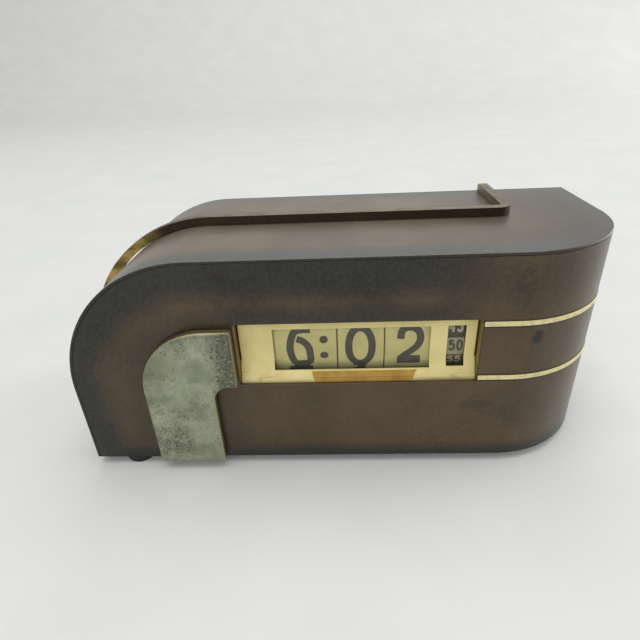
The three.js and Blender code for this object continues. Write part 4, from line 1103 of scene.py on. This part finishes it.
# ---------------- turned fittings


def make_feet():
    """Four rubber feet, each with a button pushed through the base plate."""
    for number in range(1, 5):
        node = f"foot_{number}"
        low, high = case_box(node)
        centre = (low + high) / 2
        wide = (high.x - low.x) / 2
        neck = wide - 1.2
        profile = [(AXIS, high.z), (1.4, high.z - 0.2), (2.8, 2.6), (2.8, 2.3), (2, 2.3), (2, 0.9),
                   (neck, 0.9), (neck, -0.3), (wide - 0.2, -0.3), (wide, -0.5), (wide, low.z + 0.5),
                   (wide - 0.15, low.z + 0.15), (wide - 0.5, low.z), (2.2, low.z),
                   (2.0, low.z + 0.5), (AXIS, low.z + 0.5)]
        bm = bmesh.new()
        lathe(bm, profile, "Z", centre.xy, 64)
        settle(new_object("rubber_" + node, bm, MATERIALS["rubber"]), "case", "rubber", node)


def make_grommet():
    """The rubber ring in the back cover, with a lip on both sides of the sheet."""
    low, high = case_box("cord_grommet")
    centre = ((low.x + high.x) / 2, (low.z + high.z) / 2)
    rear = high.y - 1.8
    front = rear - SHEET
    bore, groove_and_trim_shadow, lip = 3.3, 4.6, 6
    profile = [(bore, front - 1.7), (lip - 0.3, front - 1.7), (lip, front - 1.4), (lip, front - 0.1),
               (groove_and_trim_shadow, front - 0.1), (groove_and_trim_shadow, rear + 0.1), (lip, rear + 0.1), (lip, rear + 1.0),
               (lip - 0.3, rear + 1.5), (lip - 1.0, rear + 1.8), (bore + 0.6, rear + 1.8),
               (bore + 0.15, rear + 1.6), (bore, rear + 1.2)]
    bm = bmesh.new()
    lathe(bm, profile, "Y", centre, 72)
    settle(new_object("cord_bush", bm, MATERIALS["rubber"]), "case", "rubber", "cord_grommet")


# ---------------- pieces that keep their CAD shape


def keep_shape(node, body, slot):
    """A CAD node's own shape with its flat faces merged and its edges softened."""
    piece = bpy.data.objects.new(node + "_part", frame["nodes"][node].data.copy())
    bpy.context.scene.collection.objects.link(piece)
    low, high = box_mm(node)
    width = min(SOFTEN.get(node, 0.14), min(high - low) * 0.2)
    round_off(piece, NODE_MATERIALS.get(node, MATERIALS[slot]), width, 2)
    settle(piece, body, slot, node)


# Width of the softened edges in millimetres, where it isn't the usual one.
SOFTEN = {"window_lens": 0.0, "dial_mask": 0.1, "display_sleeve": 0.12, "seconds_shaft": 0.0}

INK = painted("ink", (74, 74, 68), (60, 60, 54), 0.5, 3.0, 0.4, (110, 106, 84))
PALE_INK = painted("pale_ink", (206, 202, 176), (180, 176, 148), 0.5, 3.0)

MATERIALS = {
    "bronze_front": bronze(),
    "worn_plating": plating(),
    "bar_brass": bar_brass(),
    "trim_brass": old_brass("trim_brass", (236, 226, 174), (214, 200, 144),
                            (124, 108, 66), 0.4, 0.4, 2.0),
    "sleeve_brass": old_brass("sleeve_brass", (168, 148, 86), (140, 120, 62), (62, 48, 26)),
    "dark_steel": painted("dark_steel", (62, 60, 57), (46, 44, 42), 0.5),
    "steel": machined("steel", (170, 170, 166), (140, 140, 136)),
    "rubber": rubber(),
    "clear_sheet": clear_sheet(),
    "mask_cream": mask_paint(),
    "amber_strip": amber_paint(),
    "drum_cream": painted("drum_cream", (232, 223, 164), (216, 206, 144), 0.5, 10.0, 0.2),
    "drum_black": painted("drum_black", (48, 44, 40), (36, 34, 32), 0.5),
    "gear_brass": machined("gear_brass", (196, 166, 92), (164, 134, 66)),
    "copper": machined("copper", (172, 112, 76), (132, 84, 56)),
    "coil_tape": coil_tape(),
}
MATERIALS["bronze_top"] = MATERIALS["bronze_front"]
NODE_MATERIALS = {"motor_field_stack": laminations()}

make_front()
make_top()
make_fender()
make_bar()
for trim in TRIMS:
    make_trim(trim)
make_strip()
make_drums()
make_feet()
make_grommet()

SLOT_OF = {part["node"]: part["material_slot"] for part in frame["record"]["subparts"]}
for body, nodes in frame["record"]["behaviour"]["bodies"].items():
    for node in nodes:
        if node not in REMADE:
            keep_shape(node, body, SLOT_OF[node])

# ---------------- floor, light and camera

# The camera's place in metres, its yaw, pitch and roll in degrees, and its lens in millimetres.
CAMERA_PLACE = (0.003665, -0.176868, 0.139928)
CAMERA_ANGLES = (-3.10110, 28.68207, -2.79481)
CAMERA_LENS = 27
CAMERA_SENSOR = 36


def make_stage():
    """A pale floor that rises in one smooth sweep behind the clock, in metres."""
    front, bend, radius, top, half_width = -1.5, 1.3, 0.9, 3.0, 4.0
    profile = [(front, 0.0), *arc(bend, radius, radius, -90, 0, 18), (bend + radius, top)]
    bm = bmesh.new()
    left = [bm.verts.new((-half_width, y, z)) for y, z in profile]
    right = [bm.verts.new((half_width, y, z)) for y, z in profile]
    for k in range(len(profile) - 1):
        bm.faces.new((left[k], right[k], right[k + 1], left[k + 1]))
    floor = new_object("floor", bm, floor_paint())


def soft_light(name, place, aim, size, power):
    """A rectangular area light turned toward a point; places in metres, power in watts."""
    lamp = bpy.data.lights.new(name, "AREA")
    lamp.shape = "RECTANGLE"
    lamp.size, lamp.size_y = size
    lamp.energy = power
    holder = bpy.data.objects.new(name, lamp)
    holder.location = place
    holder.rotation_euler = (Vector(aim) - Vector(place)).to_track_quat("-Z", "Y").to_euler()
    bpy.context.scene.collection.objects.link(holder)


def make_lights():
    """A wide light overhead, a fill from the front, one from the right, and an even room."""
    soft_light("overhead", (0.1, 0.05, 2.6), (0, 0.1, 0.0), (3.0, 2.4), 53)
    soft_light("front_fill", (-0.8, -2.4, 1.5), (0, 0, 0.04), (2.2, 1.6), 30)
    soft_light("right_fill", (2.0, 0.45, 0.4), (0.08, 0, 0.04), (2.4, 0.75), 25)
    world = bpy.data.worlds.new("room")
    world.use_nodes = True
    background = world.node_tree.nodes["Background"]
    background.inputs["Color"].default_value = (0.95, 0.97, 1.0, 1)
    background.inputs["Strength"].default_value = 0.42
    bpy.context.scene.world = world
    bpy.context.scene.view_settings.view_transform = "Standard"


def make_camera():
    """The photo's camera, fitted to the case's straight edges."""
    yaw, pitch, roll = (math.radians(angle) for angle in CAMERA_ANGLES)
    forward = Vector((math.sin(yaw) * math.cos(pitch), math.cos(yaw) * math.cos(pitch), -math.sin(pitch)))
    level = Vector((math.cos(yaw), -math.sin(yaw), 0))
    up = level.cross(forward)
    right = level * math.cos(roll) + up * math.sin(roll)
    above = up * math.cos(roll) - level * math.sin(roll)
    data = bpy.data.cameras.new("camera")
    data.lens = CAMERA_LENS
    data.sensor_width = CAMERA_SENSOR
    data.clip_start = 0.01
    camera = bpy.data.objects.new("camera", data)
    facing = Matrix((right, above, -forward)).transposed()
    camera.matrix_world = Matrix.Translation(CAMERA_PLACE) @ facing.to_4x4()
    bpy.context.scene.collection.objects.link(camera)
    bpy.context.scene.camera = camera


make_stage()
make_lights()
make_camera()
